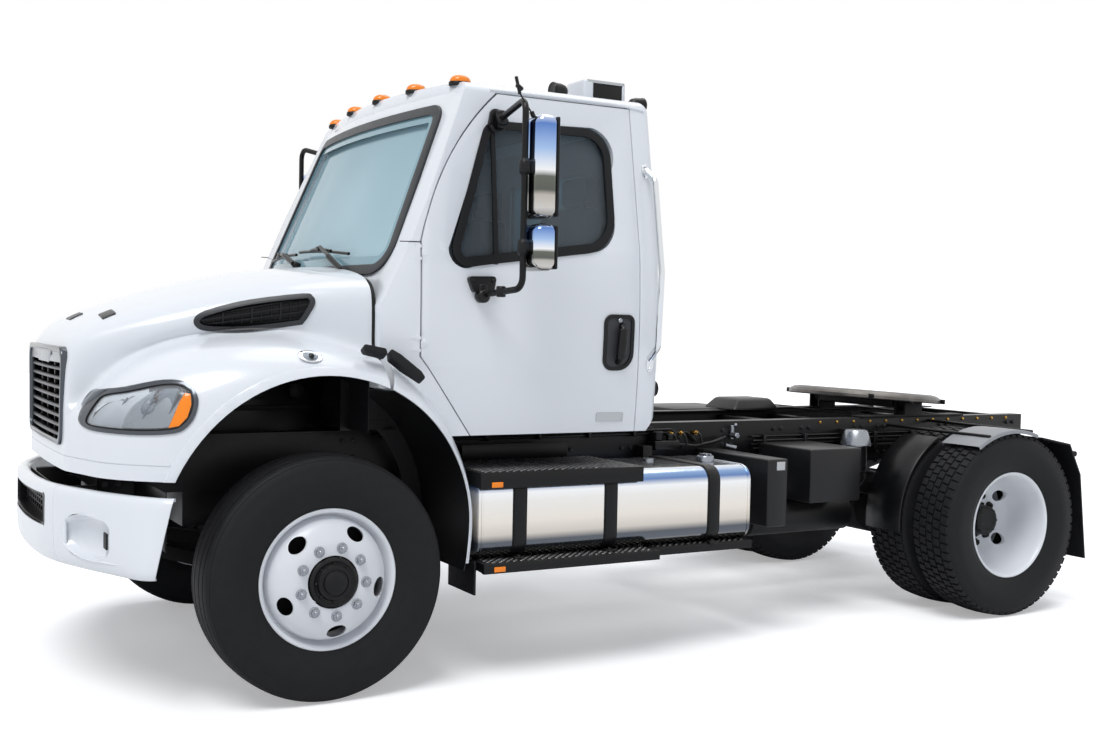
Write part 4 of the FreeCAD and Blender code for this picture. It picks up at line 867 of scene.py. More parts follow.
class TRACTOR_OT_headlights(bpy.types.Operator):
    """Sail-shaped headlights: bright bezel, clear lens, fluted bowl and amber wedge"""
    bl_idname = "tractor.headlights"
    bl_label = "Headlights"

    def execute(self, context):
        form = hood_form()
        near = dict(box_x=(2.40, 2.905), box_z=(1.05, 1.42), side=1)
        wide = sizes().bezel
        ring = combine(side_prism(smooth_ring(HEADLIGHT, 0.002)),
                       side_prism(smooth_ring(HEADLIGHT, -wide), (0.3, 1.4)))
        bezel = soften(combine(layer(form, 6, 16, **near), ring, "INTERSECT"), 5, 3, 40)
        finish_pair(bezel, "headlight_bezel", "dark_chrome", "hood", angle=60)
        line = combine(side_prism(smooth_ring(HEADLIGHT, -wide + 0.001)),
                       side_prism(smooth_ring(HEADLIGHT, -wide - 0.006), (0.3, 1.4)))
        gasket = combine(layer(form, 3, 12, **near), line, "INTERSECT")
        finish_pair(gasket, "headlight_gasket", "black_rubber", "hood")
        inner = side_prism(smooth_ring(HEADLIGHT, -wide - 0.004))
        lens = combine(layer(form, 2, 4, **near), inner, "INTERSECT", keep=True)
        finish_pair(soften(lens, 1, 2, 40), "headlight_lens", "clear_lens", "hood",
                    (("headlights",), ()))
        bpy.data.objects.remove(inner)
        inner = side_prism(smooth_ring(HEADLIGHT, -0.021))
        bowl = combine(layer(form, -30, 5, **near), inner, "INTERSECT")
        finish_pair(bowl, "headlight_bowl", "satin_chrome", "hood", angle=60)
        self.facets()
        self.wedge(form)
        bpy.data.objects.remove(form)
        return {"FINISHED"}

    def facets(self):
        """Upright curved mirrors in the bowl, and the two round lamps between them."""
        # ends of each leaning edge: X, Y, Z low then high
        edges = [((2.836, 0.690, 1.150), (2.815, 0.745, 1.230)),
                 ((2.779, 0.785, 1.146), (2.721, 0.862, 1.268)),
                 ((2.684, 0.895, 1.146), (2.622, 0.948, 1.305)),
                 ((2.596, 0.968, 1.158), (2.545, 0.998, 1.315))]
        for i, (a, b) in enumerate(zip(edges, edges[1:])):
            rows = []
            for t in (0, 0.25, 0.5, 0.75, 1):
                low = Vector(a[0]).lerp(Vector(b[0]), t)
                high = Vector(a[1]).lerp(Vector(b[1]), t)
                sink = Vector((-0.25, -1, 0)) * 0.030 * math.sin(math.pi * t)
                rows.append([low.lerp(high, s) + sink * (0.4 + 0.6 * math.sin(math.pi * s))
                             for s in (0, 0.25, 0.5, 0.75, 1)])
            cup = sheet(rows)
            modify(cup, "SUBSURF", levels=1, render_levels=1)
            modify(cup, "SOLIDIFY", thickness=0.003, offset=0)
            finish_pair(cup, f"headlight_cup_{i + 1}", "chrome_plate", "hood", angle=40)
            edge = tube([Vector(b[0]), Vector(b[0]).lerp(Vector(b[1]), 0.5) + Vector((0.004, 0.006, 0)),
                         Vector(b[1])], 0.0035, smooth=True)
            finish_pair(edge, f"headlight_edge_{i + 1}", "zinc_plate", "hood")
        for i, (x, y, z, r) in enumerate(((2.735, 0.815, 1.205, 0.030), (2.640, 0.905, 1.225, 0.036))):
            lamp = lathe([(0, -0.02), (r * 0.6, -0.02), (r, 0.010), (r * 0.96, 0.016), (r * 0.5, 0.024),
                          (0, 0.027)], axis="Z", steps=28)
            place = Matrix.Translation((x, y, z)) @ Vector((0.5, 1, 0)).to_track_quat(
                "Z", "Y").to_matrix().to_4x4()
            finish_pair(placed(lamp, place), f"headlight_lamp_{i + 1}", "zinc_plate", "hood")

    def wedge(self, form):
        """Amber side marker at the rear of the lens."""
        outline = [(2.512, 1.292), (2.530, 1.296), (2.552, 1.262), (2.590, 1.172), (2.596, 1.157),
                   (2.560, 1.166), (2.530, 1.200), (2.513, 1.250)]
        wedge = layer(form, 3.5, 6, box_x=(2.42, 2.7), box_z=(1.05, 1.42), side=1)
        combine(wedge, side_prism(outline), "INTERSECT")
        finish_pair(soften(wedge, 1.5, 2, 40), "headlight_marker", "amber_lens", "hood")


class TRACTOR_OT_grille(bpy.types.Operator):
    """Dark chrome grille: rounded frame, bare top panel, bowed slats, posts and mesh"""
    bl_idname = "tractor.grille"
    bl_label = "Grille"

    def execute(self, context):
        def bowed(y, depth=0.0):
            return 2.912 - NOSE_BOW * y * y - depth

        surround = combine(grille_prism(-0.0005, (2.872, 2.928)), grille_prism(-0.024, (2.8, 3.0)))
        for vertex in divided(surround, 1).data.vertices:
            vertex.co.x -= NOSE_BOW * vertex.co.y ** 2
        soften(surround, 6, 3, 50)
        finish(surround, "grille_frame", "dark_chrome", "hood", ("grille",), 55)

        (wl, zl), (wh, zh) = GRILLE_LOW, GRILLE_HIGH
        low, high = 1.063, 1.386
        count = sizes().slats
        slats = []
        for i in range(count):
            z = low + (high - low) * (i + 0.5) / count
            half = wl + (wh - wl) * (z - zl) / (zh - zl) - 0.018
            rows = []
            for k in range(13):
                y = -half + 2 * half * k / 12
                x = bowed(y)
                ring = [(x - 0.038, z - 0.002), (x - 0.034, z - 0.007), (x - 0.010, z - 0.009),
                        (x + 0.001, z - 0.006), (x + 0.003, z + 0.001), (x - 0.004, z + 0.008),
                        (x - 0.022, z + 0.007), (x - 0.036, z + 0.003)]
                rows.append([(a, y, b) for a, b in ring + ring[:1]])
            slats.append(outward(sheet(rows, closed=True)))
        finish(joined(slats), "grille_slats", "smoked_chrome", "hood", angle=50)

        panel = combine(block((2.885, 2.925), (-0.5, 0.5), (1.392, 1.47), 0), grille_prism(-0.012),
                        "INTERSECT")
        for vertex in divided(panel, 3).data.vertices:
            vertex.co.x -= NOSE_BOW * vertex.co.y ** 2 + 0.006
        finish(soften(panel, 4, 2, 50), "grille_top_panel", "satin_chrome", "hood")
        blank = prism(rounded_outline([(2.906, -0.150, 1.386), (2.906, -0.190, 1.452),
                                       (2.906, 0.190, 1.452), (2.906, 0.150, 1.386)], 0.015, 3),
                      (0.013, 0, 0), 4)
        finish(blank, "grille_blank_plate", "satin_chrome", "hood")
        posts = []
        for y in (-0.30, -0.10, 0.10, 0.30):
            x = bowed(y, 0.026)
            posts.append(block((x - 0.03, x), (y - 0.010, y + 0.010), (1.055, 1.395), 3))
        finish(joined(posts), "grille_posts", "black_plastic", "hood")
        wires = []
        for i in range(22):
            z = 1.06 + 0.34 * i / 21
            wires.append(block((2.845, 2.849), (-0.46, 0.46), (z - 0.0015, z + 0.0015), 0))
        for i in range(46):
            y = -0.45 + 0.9 * i / 45
            wires.append(block((2.847, 2.851), (y - 0.0015, y + 0.0015), (1.05, 1.41), 0))
        finish(joined(wires), "grille_mesh", "black_plastic", "hood")
        backing = block((2.800, 2.806), (-0.490, 0.490), (1.046, 1.412), 3)
        finish(backing, "grille_backing", "black_plastic", "hood")
        return {"FINISHED"}


# ---- bumper -----------------------------------------------------------------------------------
BUMPER_PLAN = [(3.008, 0.0), (3.003, 0.18), (2.988, 0.36), (2.955, 0.50), (2.905, 0.63), (2.845, 0.78),
               (2.780, 0.91), (2.715, 1.02), (2.655, 1.10), (2.610, 1.125)]
# outline of the lamp pocket, in X and Z
LAMP_POCKET = rounded_outline([(2.925, 0.604), (2.925, 0.795), (2.722, 0.768), (2.722, 0.608)],
                              [0.075, 0.075, 0.040, 0.055], 6)


class TRACTOR_OT_bumper(bpy.types.Operator):
    """Swept bumper with rolled edges, lamp recesses, seams and a central air opening"""
    bl_idname = "tractor.bumper"
    bl_label = "Bumper"

    def execute(self, context):
        # rolled section: how far behind the face, height
        roll = [(0.058, 0.868), (0.045, 0.884), (0.022, 0.886), (0.006, 0.874), (0.0, 0.845),
                (0.0, 0.76), (0.0, 0.67), (0.004, 0.60), (0.016, 0.562), (0.038, 0.547), (0.058, 0.556)]
        rows = []
        plan = [(x, -y) for x, y in BUMPER_PLAN[:0:-1]] + BUMPER_PLAN
        for k, (x, y) in enumerate(plan):
            a = Vector(plan[max(0, k - 1)])
            b = Vector(plan[min(len(plan) - 1, k + 1)])
            inward = Vector((-(b - a).y, (b - a).x)).normalized()
            if inward.x > 0:
                inward.negate()
            end = max(0.0, abs(y) - 0.95) / 0.175
            row = []
            for depth, z in roll:
                lean = 0.075 * end * (0.886 - z) / 0.34 - 0.012 * end
                low_end = 0.018 * max(0.0, end - 0.4) if z < 0.6 else 0.0
                row.append((x + inward.x * depth + lean, y + inward.y * depth, z + low_end))
            rows.append(row)
        skin = outward(sheet(rows))
        modify(skin, "SUBSURF", levels=2, render_levels=2)
        form = copied(skin)
        modify(skin, "SOLIDIFY", thickness=0.006, offset=-1)
        fog_tool = prism([(p[0], 0.60, p[1]) for p in LAMP_POCKET], (0.10, 0.40, 0))
        combine(skin, both_sides(fog_tool))
        opening = prism(rounded_outline([(2.9, -0.42, 0.702), (2.9, -0.42, 0.838), (2.9, 0.42, 0.838),
                                         (2.9, 0.42, 0.702)], 0.02, 3), (0.2, 0, 0))
        combine(skin, opening)
        seam = prism([(2.90, 0.505, 0.5), (2.90, 0.508, 0.5), (2.90, 0.508, 0.95), (2.90, 0.505, 0.95)],
                     (0.12, 0, 0))
        groove = combine(both_sides(seam), raised(form, 3, 5.5), "INTERSECT")
        combine(skin, groove)
        soften(skin, 3, 2, 50)
        finish(skin, "bumper_skin", "white_enamel", "chassis", ("front_bumper",), 40)
        self.pockets()
        self.supports()
        # black sheets that close the view under the hood, either side of the rails and between them: painted
        # shade where the space behind the bumper lies dark
        outer, inner = (RAIL_OUT + 0.008, 1.03), 0.337
        spans = ((-outer[1], -outer[0]), (-inner, inner), outer)
        shade_sheets = joined([block((2.600, 2.606), span, (0.66, 0.90), 3) for span in spans])
        finish(shade_sheets, "bumper_shade_sheets", "black_plastic", "chassis")
        return {"FINISHED"}

    def pockets(self):
        """Dished lamp recesses and the air opening's frame and mesh."""

        def face(x):
            """Y of the bumper's face at X."""
            for (xa, ya), (xb, yb) in zip(BUMPER_PLAN, BUMPER_PLAN[1:]):
                if xb <= x <= xa:
                    return ya + (yb - ya) * (xa - x) / (xa - xb)
            return BUMPER_PLAN[-1][1]

        edge = [Vector((x, face(x), z)) for x, z in LAMP_POCKET]
        middle = sum(edge, Vector()) / len(edge)
        inward = (edge[0] - middle).cross(edge[len(edge) // 3] - middle).normalized()
        if inward.y > 0:
            inward.negate()
        rows = []
        for share, deep in ((1.04, 0.001), (1.0, 0.004), (0.95, 0.022), (0.86, 0.040), (0.70, 0.048),
                            (0.35, 0.050), (0.02, 0.050)):
            row = [middle + (p - middle) * share + inward * deep for p in edge]
            rows.append(row + row[:1])
        cup = outward(sheet(rows, closed=True))
        modify(cup, "SOLIDIFY", thickness=0.003, offset=0)
        finish_pair(cup, "lamp_recess", "white_enamel", "chassis", angle=60)
        slot = block((2.792, 2.800), (0.80, 0.86), (0.655, 0.72), 2)
        finish_pair(slot, "lamp_recess_slot", "black_rubber", "chassis")
        parts = []
        for z in (0.715, 0.742, 0.769, 0.796, 0.823):
            parts.append(block((2.925, 2.935), (-0.43, 0.43), (z - 0.004, z + 0.004), 1))
        for i in range(15):
            y = -0.42 + 0.06 * i
            parts.append(block((2.923, 2.937), (y - 0.005, y + 0.005), (0.69, 0.85), 1))
        back = block((2.905, 2.912), (-0.44, 0.44), (0.685, 0.855), 2)
        finish(joined(parts + [back]), "bumper_mesh", "black_plastic", "chassis")
        frame_tool = rounded_outline([(2.93, -0.425, 0.697), (2.93, -0.425, 0.843), (2.93, 0.425, 0.843),
                                      (2.93, 0.425, 0.697)], 0.02, 3)
        inner = rounded_outline([(2.9, -0.408, 0.713), (2.9, -0.408, 0.827), (2.9, 0.408, 0.827),
                                 (2.9, 0.408, 0.713)], 0.012, 3)
        rim = combine(prism(frame_tool, (0.066, 0, 0)), prism(inner, (0.2, 0, 0)))
        for vertex in divided(rim, 3).data.vertices:
            vertex.co.x -= 0.15 * vertex.co.y ** 2 - 0.004
        finish(soften(rim, 2, 2, 50), "bumper_opening_frame", "black_plastic", "chassis")

    def supports(self):
        """Beam behind the skin, and arms to the rails."""
        beam = block((2.880, 2.925), (-0.46, 0.46), (0.60, 0.69), 6)
        arm = block((2.690, 2.890), (0.362, 0.418), (0.60, 0.86), 5)
        wing = tube([(2.89, 0.44, 0.62), (2.77, 0.72, 0.578), (2.68, 0.92, 0.578)], 0.020, 0.1)
        parts = [beam, arm, copied(arm, FLIP), wing, copied(wing, FLIP)]
        finish(joined(parts), "bumper_brackets", "black_enamel", "chassis")


# ---- wheels and tyres -------------------------------------------------------------------------
def disc_wheel(holes, hole_long, hole_short, start):
    """Pressed steel wheel round the Y axis, its disc dished towards +Y, with hand holes."""
    profile = [(.298, .117), (.294, .121), (.288, .119), (.279, .109), (.276, .085), (.266, .068),
               (.262, .062), (.257, .088), (.248, .113), (.234, .132), (.214, .147), (.190, .159),
               (.168, .168), (.152, .1715), (.110, .1715), (.110, .1605), (.150, .1605), (.166, .157),
               (.187, .148), (.208, .136), (.226, .122), (.239, .104), (.247, .082), (.262, .046),
               (.262, -.040), (.276, -.085),
               (.279, -.109), (.288, -.119), (.294, -.121), (.298, -.117), (.297, -.112),
               (.287, -.106), (.286, -.080), (.272, -.040), (.272, .050), (.286, .080), (.287, .106),
               (.297, .112)]
    wheel = lathe(profile, steps=96)
    cutters = []
    for i in range(holes):
        a = math.radians(start + 360 * i / holes)
        out = Vector((math.cos(a), 0, math.sin(a)))
        side = Vector((-out.z, 0, out.x))
        ring = []
        for k in range(20):
            b = math.tau * k / 20
            ring.append(out * (0.214 + hole_short * math.cos(b)) + side * hole_long * math.sin(b)
                        + Vector((0, 0.05, 0)))
        cutters.append(prism(ring, (0, 0.15, 0)))
    combine(wheel, joined(cutters))
    return soften(wheel, 1.6, 2, 40)


def nut_ring(count, radius, y, start, high=0.020):
    """Flanged nuts with their studs, round the Y axis."""
    r = sizes().nut_radius
    nut = prism([(r * math.cos(math.tau * k / 6), y, r * math.sin(math.tau * k / 6)) for k in range(6)],
                (0, high, 0), 1.8)
    skirt = lathe([(0, y - 0.001), (r * 1.22, y - 0.001), (r * 1.22, y + 0.003), (r * 1.0, y + 0.006),
                   (0, y + 0.006)], steps=20)
    stud = lathe([(0, y), (r * 0.52, y), (r * 0.52, y + high + 0.006), (r * 0.4, y + high + 0.008),
                  (0, y + high + 0.008)], steps=14)
    one = placed(joined([nut, skirt, stud]), Matrix.Translation((radius, 0, 0)))
    return around(one, count, (0, 0, 0), "Y", [-(start + 360 * i / count) for i in range(count)])


# side wall of a tyre from bead to shoulder, with its raised rings: (radius, across)
SIDE_WALL = [(.288, .104), (.292, .112), (.303, .1165), (.312, .122), (.330, .1305), (.334, .1325),
             (.350, .1345), (.354, .1365), (.400, .1395), (.404, .1402), (.440, .1395), (.444, .138),
             (.470, .1345)]


def tyre_profile(depth, grooves):
    """Half profile doubled: (radius, across) from bead to bead, with ring grooves in the tread."""
    wall = SIDE_WALL + [(.486, .129), (.497, .1235), (.506, .1165), (.5115, .1085)]
    tread = []
    for low, high in grooves:
        tread += [(high, 0.0), (high - 0.0015, depth), (low + 0.0015, depth), (low, 0.0)]

    def crown(a):
        return TREAD_RADIUS - 0.0075 * (a / 0.1085) ** 2

    top = [(crown(a) - sunk, a) for a, sunk in tread]
    half = wall + top
    return half + [(r, -a) for r, a in reversed(half)]


def steer_tyre():
    depth = sizes().tread_depth
    tyre = lathe(tyre_profile(depth, [(.074, .084), (.026, .036)]), steps=144)
    # short cuts across the shoulders: narrow pads between them
    pad = prism([(-.0115, .100, .5085), (.0115, .100, .5085), (.0125, .1225, .4965),
                 (-.0125, .1225, .4965)], (0, 0.0010, 0.0045))
    pads = [placed(copied(pad), Matrix.Rotation(math.tau * i / 108, 4, "Y")) for i in range(108)]
    pads += [copied(p, FLIP) for p in pads]
    bpy.data.objects.remove(pad)
    return joined([tyre] + pads)


def drive_tyre():
    """Block tread: five staggered rows of lugs on a bare casing."""
    depth = sizes().tread_depth
    half = SIDE_WALL + [(.486, .128), (.4975, .119), (.503, .108), (.507, .060), (.508, 0.0)]
    tyre = lathe(half + [(r, -a) for r, a in reversed(half[:-1])], steps=120)
    rows = [(-.121, -.079, 64, 0.0), (-.070, -.028, 64, 0.5), (-.019, .019, 64, 0.0),
            (.028, .070, 64, 0.5), (.079, .121, 64, 0.0)]
    lugs = []
    for low, high, count, shift in rows:
        pitch = math.tau / count
        ring = []
        for a, t, s in ((low, -.37, -.06), (low + .006, -.40, -.02), (high - .006, -.34, .02),
                        (high, -.37, .06), (high, .37, .06), (high - .006, .40, .02),
                        (low + .006, .34, -.02), (low, .37, -.06)):
            ring.append((a, (t + s) * pitch))
        top = []
        for a, angle in ring:
            r = TREAD_RADIUS - 0.0085 * (a / 0.121) ** 2
            top.append(Vector((r * math.sin(angle), a, r * math.cos(angle))))
        lug = prism(top, Vector((0, 0, -depth - 0.006)))
        soften(lug, 1.5, 1, 40)
        for i in range(count):
            lugs.append(copied(lug, Matrix.Rotation(pitch * (i + shift), 4, "Y")))
        bpy.data.objects.remove(lug)
    return joined([tyre] + lugs)


def at_wheel(x, y, turned=False):
    """Matrix that sets a part built round the Y axis at a wheel's place."""
    place = Matrix.Translation((x, y, AXLE_HEIGHT))
    return place @ FLIP if turned else place


class TRACTOR_OT_front_wheels(bpy.types.Operator):
    """Steered wheels: disc with oval hand holes, nine nuts, hub with cap, ribbed tyre"""
    bl_idname = "tractor.front_wheels"
    bl_label = "Front wheels"

    def execute(self, context):
        bodies = ("left_front_wheel", "right_front_wheel")
        place = at_wheel(FRONT_AXLE, FRONT_WHEEL_Y)
        disc = placed(disc_wheel(5, 0.043, 0.028, -25), place)
        finish_pair(disc, "front_disc", "wheel_enamel", bodies,
                    (("left_front_wheel",), ("right_front_wheel",)))
        finish_pair(placed(nut_ring(9, NUT_CIRCLE, 0.171, 24.0), place), "front_nuts", "zinc_plate", bodies)
        hub = lathe([(0, .110), (.104, .110), (.104, .176), (.098, .181), (.088, .182), (.084, .179),
                     (.076, .179), (.072, .190), (.070, .194), (.058, .195), (.056, .191), (.050, .191),
                     (.047, .198), (.040, .2015), (.018, .2025), (0, .2025)], steps=64)
        bolts = around(rod((.078, .176, 0), (.078, .186, 0), .0055, 1, 10), 8, (0, 0, 0), "Y")
        drum = lathe([(.112, .040), (.236, .040), (.242, .034), (.242, -.020), (.236, -.020),
                      (.234, .030), (.112, .030)], steps=48)
        finish_pair(placed(drum, place), "front_drum", "cast_iron", bodies)
        finish_pair(placed(joined([hub, bolts]), place), "front_hub", "black_enamel", bodies)
        finish_pair(placed(steer_tyre(), place), "front_tyre_tread", "tyre_rubber", bodies,
                    (("left_front_tyre",), ("right_front_tyre",)), 30)
        return {"FINISHED"}


class TRACTOR_OT_rear_wheels(bpy.types.Operator):
    """Twin driven wheels with dished discs, ten studs, hub with cap and block treads"""
    bl_idname = "tractor.rear_wheels"
    bl_label = "Rear wheels"

    def execute(self, context):
        bodies = ("left_rear_wheels", "right_rear_wheels")
        outer = at_wheel(REAR_AXLE, OUTER_WHEEL_Y, turned=True)
        inner = at_wheel(REAR_AXLE, INNER_WHEEL_Y)
        disc = disc_wheel(5, 0.036, 0.030, 0)
        pair = joined([copied(disc, outer), placed(disc, inner)])
        finish_pair(pair, "rear_discs", "wheel_enamel", bodies,
                    (("left_rear_wheels",), ("right_rear_wheels",)))
        face = Matrix.Translation((REAR_AXLE, 0.928, AXLE_HEIGHT))
        finish_pair(placed(nut_ring(10, NUT_CIRCLE, 0.0, 8.0, 0.022), face), "rear_nuts", "black_enamel",
                    bodies)
        hub = lathe([(0, -.016), (.109, -.016), (.109, .014), (.104, .020), (.094, .022), (.091, .044),
                     (.088, .050), (.084, .052), (.084, .098), (.080, .106), (.066, .111), (.050, .112),
                     (.046, .1085), (.020, .1085), (0, .1085)], steps=64)
        flange_bolts = around(rod((.098, .016, 0), (.098, .034, 0), .0075, 1, 8), 12, (0, 0, 0), "Y")
        cap_bolts = around(rod((.074, .100, 0), (.074, .113, 0), .0055, 1, 8), 8, (0, 0, 0), "Y")
        finish_pair(placed(joined([hub, flange_bolts, cap_bolts]), face), "rear_hub", "black_enamel",
                    bodies)
        tyre = drive_tyre()
        tyres = joined([copied(tyre, at_wheel(REAR_AXLE, OUTER_WHEEL_Y)),
                        placed(tyre, at_wheel(REAR_AXLE, INNER_WHEEL_Y))])
        finish_pair(tyres, "rear_tyre_treads", "tyre_rubber", bodies,
                    (("left_rear_tyres",), ("right_rear_tyres",)), 30)
        return {"FINISHED"}


# ---- cab --------------------------------------------------------------------------------------
# outlines in X and Z on the door, seen from the side, with the radius of each corner
DOOR_WINDOW = [(1.402, 1.843), (0.543, 1.962), (0.538, 2.512), (1.172, 2.502)]
DOOR_WINDOW_BENDS = [0.065, 0.17, 0.13, 0.075]
HANDLE = [(0.600, 1.385), (0.432, 1.385), (0.428, 1.650), (0.596, 1.650)]
HANDLE_BENDS = [0.050, 0.085, 0.035, 0.045]
# half-widths of the windscreen's rubber at its foot and head: (Y, Z)
SCREEN_FOOT = (0.900, 1.806)
SCREEN_HEAD = (0.800, 2.598)


def side_y(x, z):
    """Half-width of the cab's outside at X and Z."""
    if z > 1.942:
        y = 1.052 - 0.123 * (z - 1.942) / 0.698
    else:
        y = (1.035 * (z - 1.590) * (z - 1.942) / 0.42061
             - 1.064 * (z - 1.094) * (z - 1.942) / 0.17459
             + 1.052 * (z - 1.094) * (z - 1.590) / 0.29850)
    return y * (1 - 0.14 * max(0.0, (x - 1.49) / 0.41))


def screen_x(y, z):
    """X of the windscreen's surface."""
    return 1.692 - 0.076 * (y / 0.845) ** 2 - 0.4225 * (z - 1.844)


def side_layer(x, z, out, thick):
    """Skin along the cab's left side between two X and two Z, raised by out; in millimetres."""
    rows = []
    for k in range(13):
        height = z[0] + (z[1] - z[0]) * k / 12
        rows.append([(x[0] + (x[1] - x[0]) * i / 8, side_y(x[0] + (x[1] - x[0]) * i / 8, height), height)
                     for i in range(9)])
    return raised(outward(sheet(rows), 1), out, thick)


def screen_layer(out, thick):
    """Skin on the windscreen's surface."""
    rows = []
    for k in range(9):
        z = 1.72 + 0.95 * k / 8
        rows.append([(screen_x(-1 + i / 10, z), -1 + i / 10, z) for i in range(21)])
    return raised(outward(sheet(rows), 0), out, thick)


def side_tool(ring, y=(0.8, 1.2)):
    """Cutter through the cab's side from a dense X, Z outline."""
    return prism([(x, y[0], z) for x, z in ring], (0, y[1] - y[0], 0))


def layer_round(ring, out, thick, room=0.02):
    """Skin of the cab's side that reaches past an X, Z outline by room."""
    xs, zs = [p[0] for p in ring], [p[1] for p in ring]
    return side_layer((min(xs) - room, max(xs) + room), (min(zs) - room, max(zs) + room), out, thick)


def on_side(ring, out, thick, soft=2.0):
    """Patch of the cab's side inside an X, Z outline."""
    skin = combine(layer_round(ring, out, thick), side_tool(ring), "INTERSECT")
    return soften(skin, soft, 3, 40) if soft else skin


def ring_on_side(ring, wide, out, thick, soft):
    """Band of the cab's side along a closed outline: wide outside and inside of it."""
    big = grown(ring, wide[0])
    skin = layer_round(big, out, thick)
    combine(skin, combine(side_tool(big), side_tool(grown(ring, -wide[1]), (0.7, 1.3))), "INTERSECT")
    return soften(skin, soft, 3, 40)


def screen_ring(grow):
    (wl, zl), (wh, zh) = SCREEN_FOOT, SCREEN_HEAD
    ring = rounded_outline([(wl, zl), (wh, zh), (-wh, zh), (-wl, zl)], [0.13, 0.10, 0.10, 0.13], 8)
    return prism([(1.0, y, z) for y, z in grown([(p[0], p[1]) for p in ring], grow)], (1.0, 0, 0))


class TRACTOR_OT_glazing(bpy.types.Operator):
    """Rubbers round the windscreen and the windows, window posts and a dark band at the foot"""
    bl_idname = "tractor.glazing"
    bl_label = "Window rubbers"

    def execute(self, context):
        wide = sizes().screen_rubber
        ring = combine(screen_ring(0.0), screen_ring(-wide))
        finish(soften(combine(screen_layer(13, 22), ring, "INTERSECT"), 7, 3, 40), "windscreen_rubber",
               "grey_rubber", "chassis", angle=60)
        # blue-grey strip on the glass inside the rubber: painted sky reflection, so that it reads as part of
        # the windscreen
        edge = combine(screen_ring(-wide + 0.002), screen_ring(-wide - 0.038))
        finish(combine(screen_layer(3, 6), edge, "INTERSECT"), "windscreen_border", "glass_border",
               "chassis", angle=60)

        window = rounded_outline(DOOR_WINDOW, DOOR_WINDOW_BENDS, 8)
        wide = sizes().window_rubber
        rubber = ring_on_side(window, (0.012, wide - 0.004), 6, 16, 4)
        finish_pair(rubber, "window_rubber", "black_rubber", DOORS,
                    angle=60)
        post = side_layer((1.135, 1.180), (1.86, 2.50), 1, 12)
        tool = side_tool([(1.158, 1.86), (1.180, 1.86), (1.155, 2.50), (1.135, 2.50)])
        finish_pair(soften(combine(post, tool, "INTERSECT"), 3, 2, 40), "window_post", "black_rubber",
                    DOORS)
        strip = [(1.39, 1.855), (0.60, 1.965), (0.60, 1.985), (1.39, 1.877)]
        finish_pair(on_side([(x, z) for x, z in strip], -4, 8, 2), "window_strip", "black_rubber",
                    DOORS)
        low, high, side = 1.96, 2.40, 0.45
        outer = rounded_outline([(0.266, -side - .02, low - .02), (0.266, -side - .02, high + .02),
                                 (0.266, side + .02, high + .02), (0.266, side + .02, low - .02)], 0.07, 6)
        inner = rounded_outline([(0.2, -side + .02, low + .02), (0.2, -side + .02, high - .02),
                                 (0.2, side - .02, high - .02), (0.2, side - .02, low + .02)], 0.05, 6)
        rear = combine(prism(outer, (0.030, 0, 0)), prism(inner, (0.3, 0, 0)))
        finish(soften(rear, 6, 3, 40), "rear_window_rubber", "black_rubber", "chassis",
               angle=60)
        self.wipers()
        return {"FINISHED"}

    def wipers(self):
        """Two wiper arms with their blades, resting at the foot of the windscreen."""
        def spot(y, z, lift):
            return Vector((screen_x(y, z) + lift * 0.92, y, z + lift * 0.39))

        # pivot, elbow, tip of the arm; then the two ends of the blade
        sets = [("near", (0.545, 1.815), (0.40, 1.872), (0.185, 1.936), (-0.17, 1.932), (0.50, 1.902)),
                ("far", (-0.115, 1.862), (-0.27, 1.900), (-0.47, 1.925), (-0.82, 1.905), (-0.22, 1.922))]
        for name, pivot, elbow, tip, left, right in sets:
            arm = tube([spot(*pivot, 0.028), spot(*elbow, 0.050), spot(*tip, 0.036)], 0.0095, 0.03)
            rib = tube([spot(*pivot, 0.036), spot(*elbow, 0.058)], 0.014)
            boss = rod(spot(*pivot, -0.006), spot(*pivot, 0.040), 0.017, 4)
            middle = spot((left[0] + right[0]) / 2, (left[1] + right[1]) / 2 + 0.012, 0.022)
            blade = tube([spot(*left, 0.014), middle, spot(*right, 0.014)], 0.0075, smooth=True)
            near, off = [spot(left[0] * (1 - t) + right[0] * t, left[1] * (1 - t) + right[1] * t + 0.008,
                              0.020) for t in (0.3, 0.7)]
            bridge = tube([near, middle + Vector((0.014, 0, 0.008)), off], 0.008, smooth=True)
            clip = placed(block((-0.012, 0.012), (-0.022, 0.022), (-0.010, 0.012), 3),
                          Matrix.Translation(middle + Vector((0.008, 0, 0.004))))
            finish(joined([arm, rib, boss, blade, bridge, clip]), name + "_wiper", "black_plastic",
                   "chassis", angle=50)


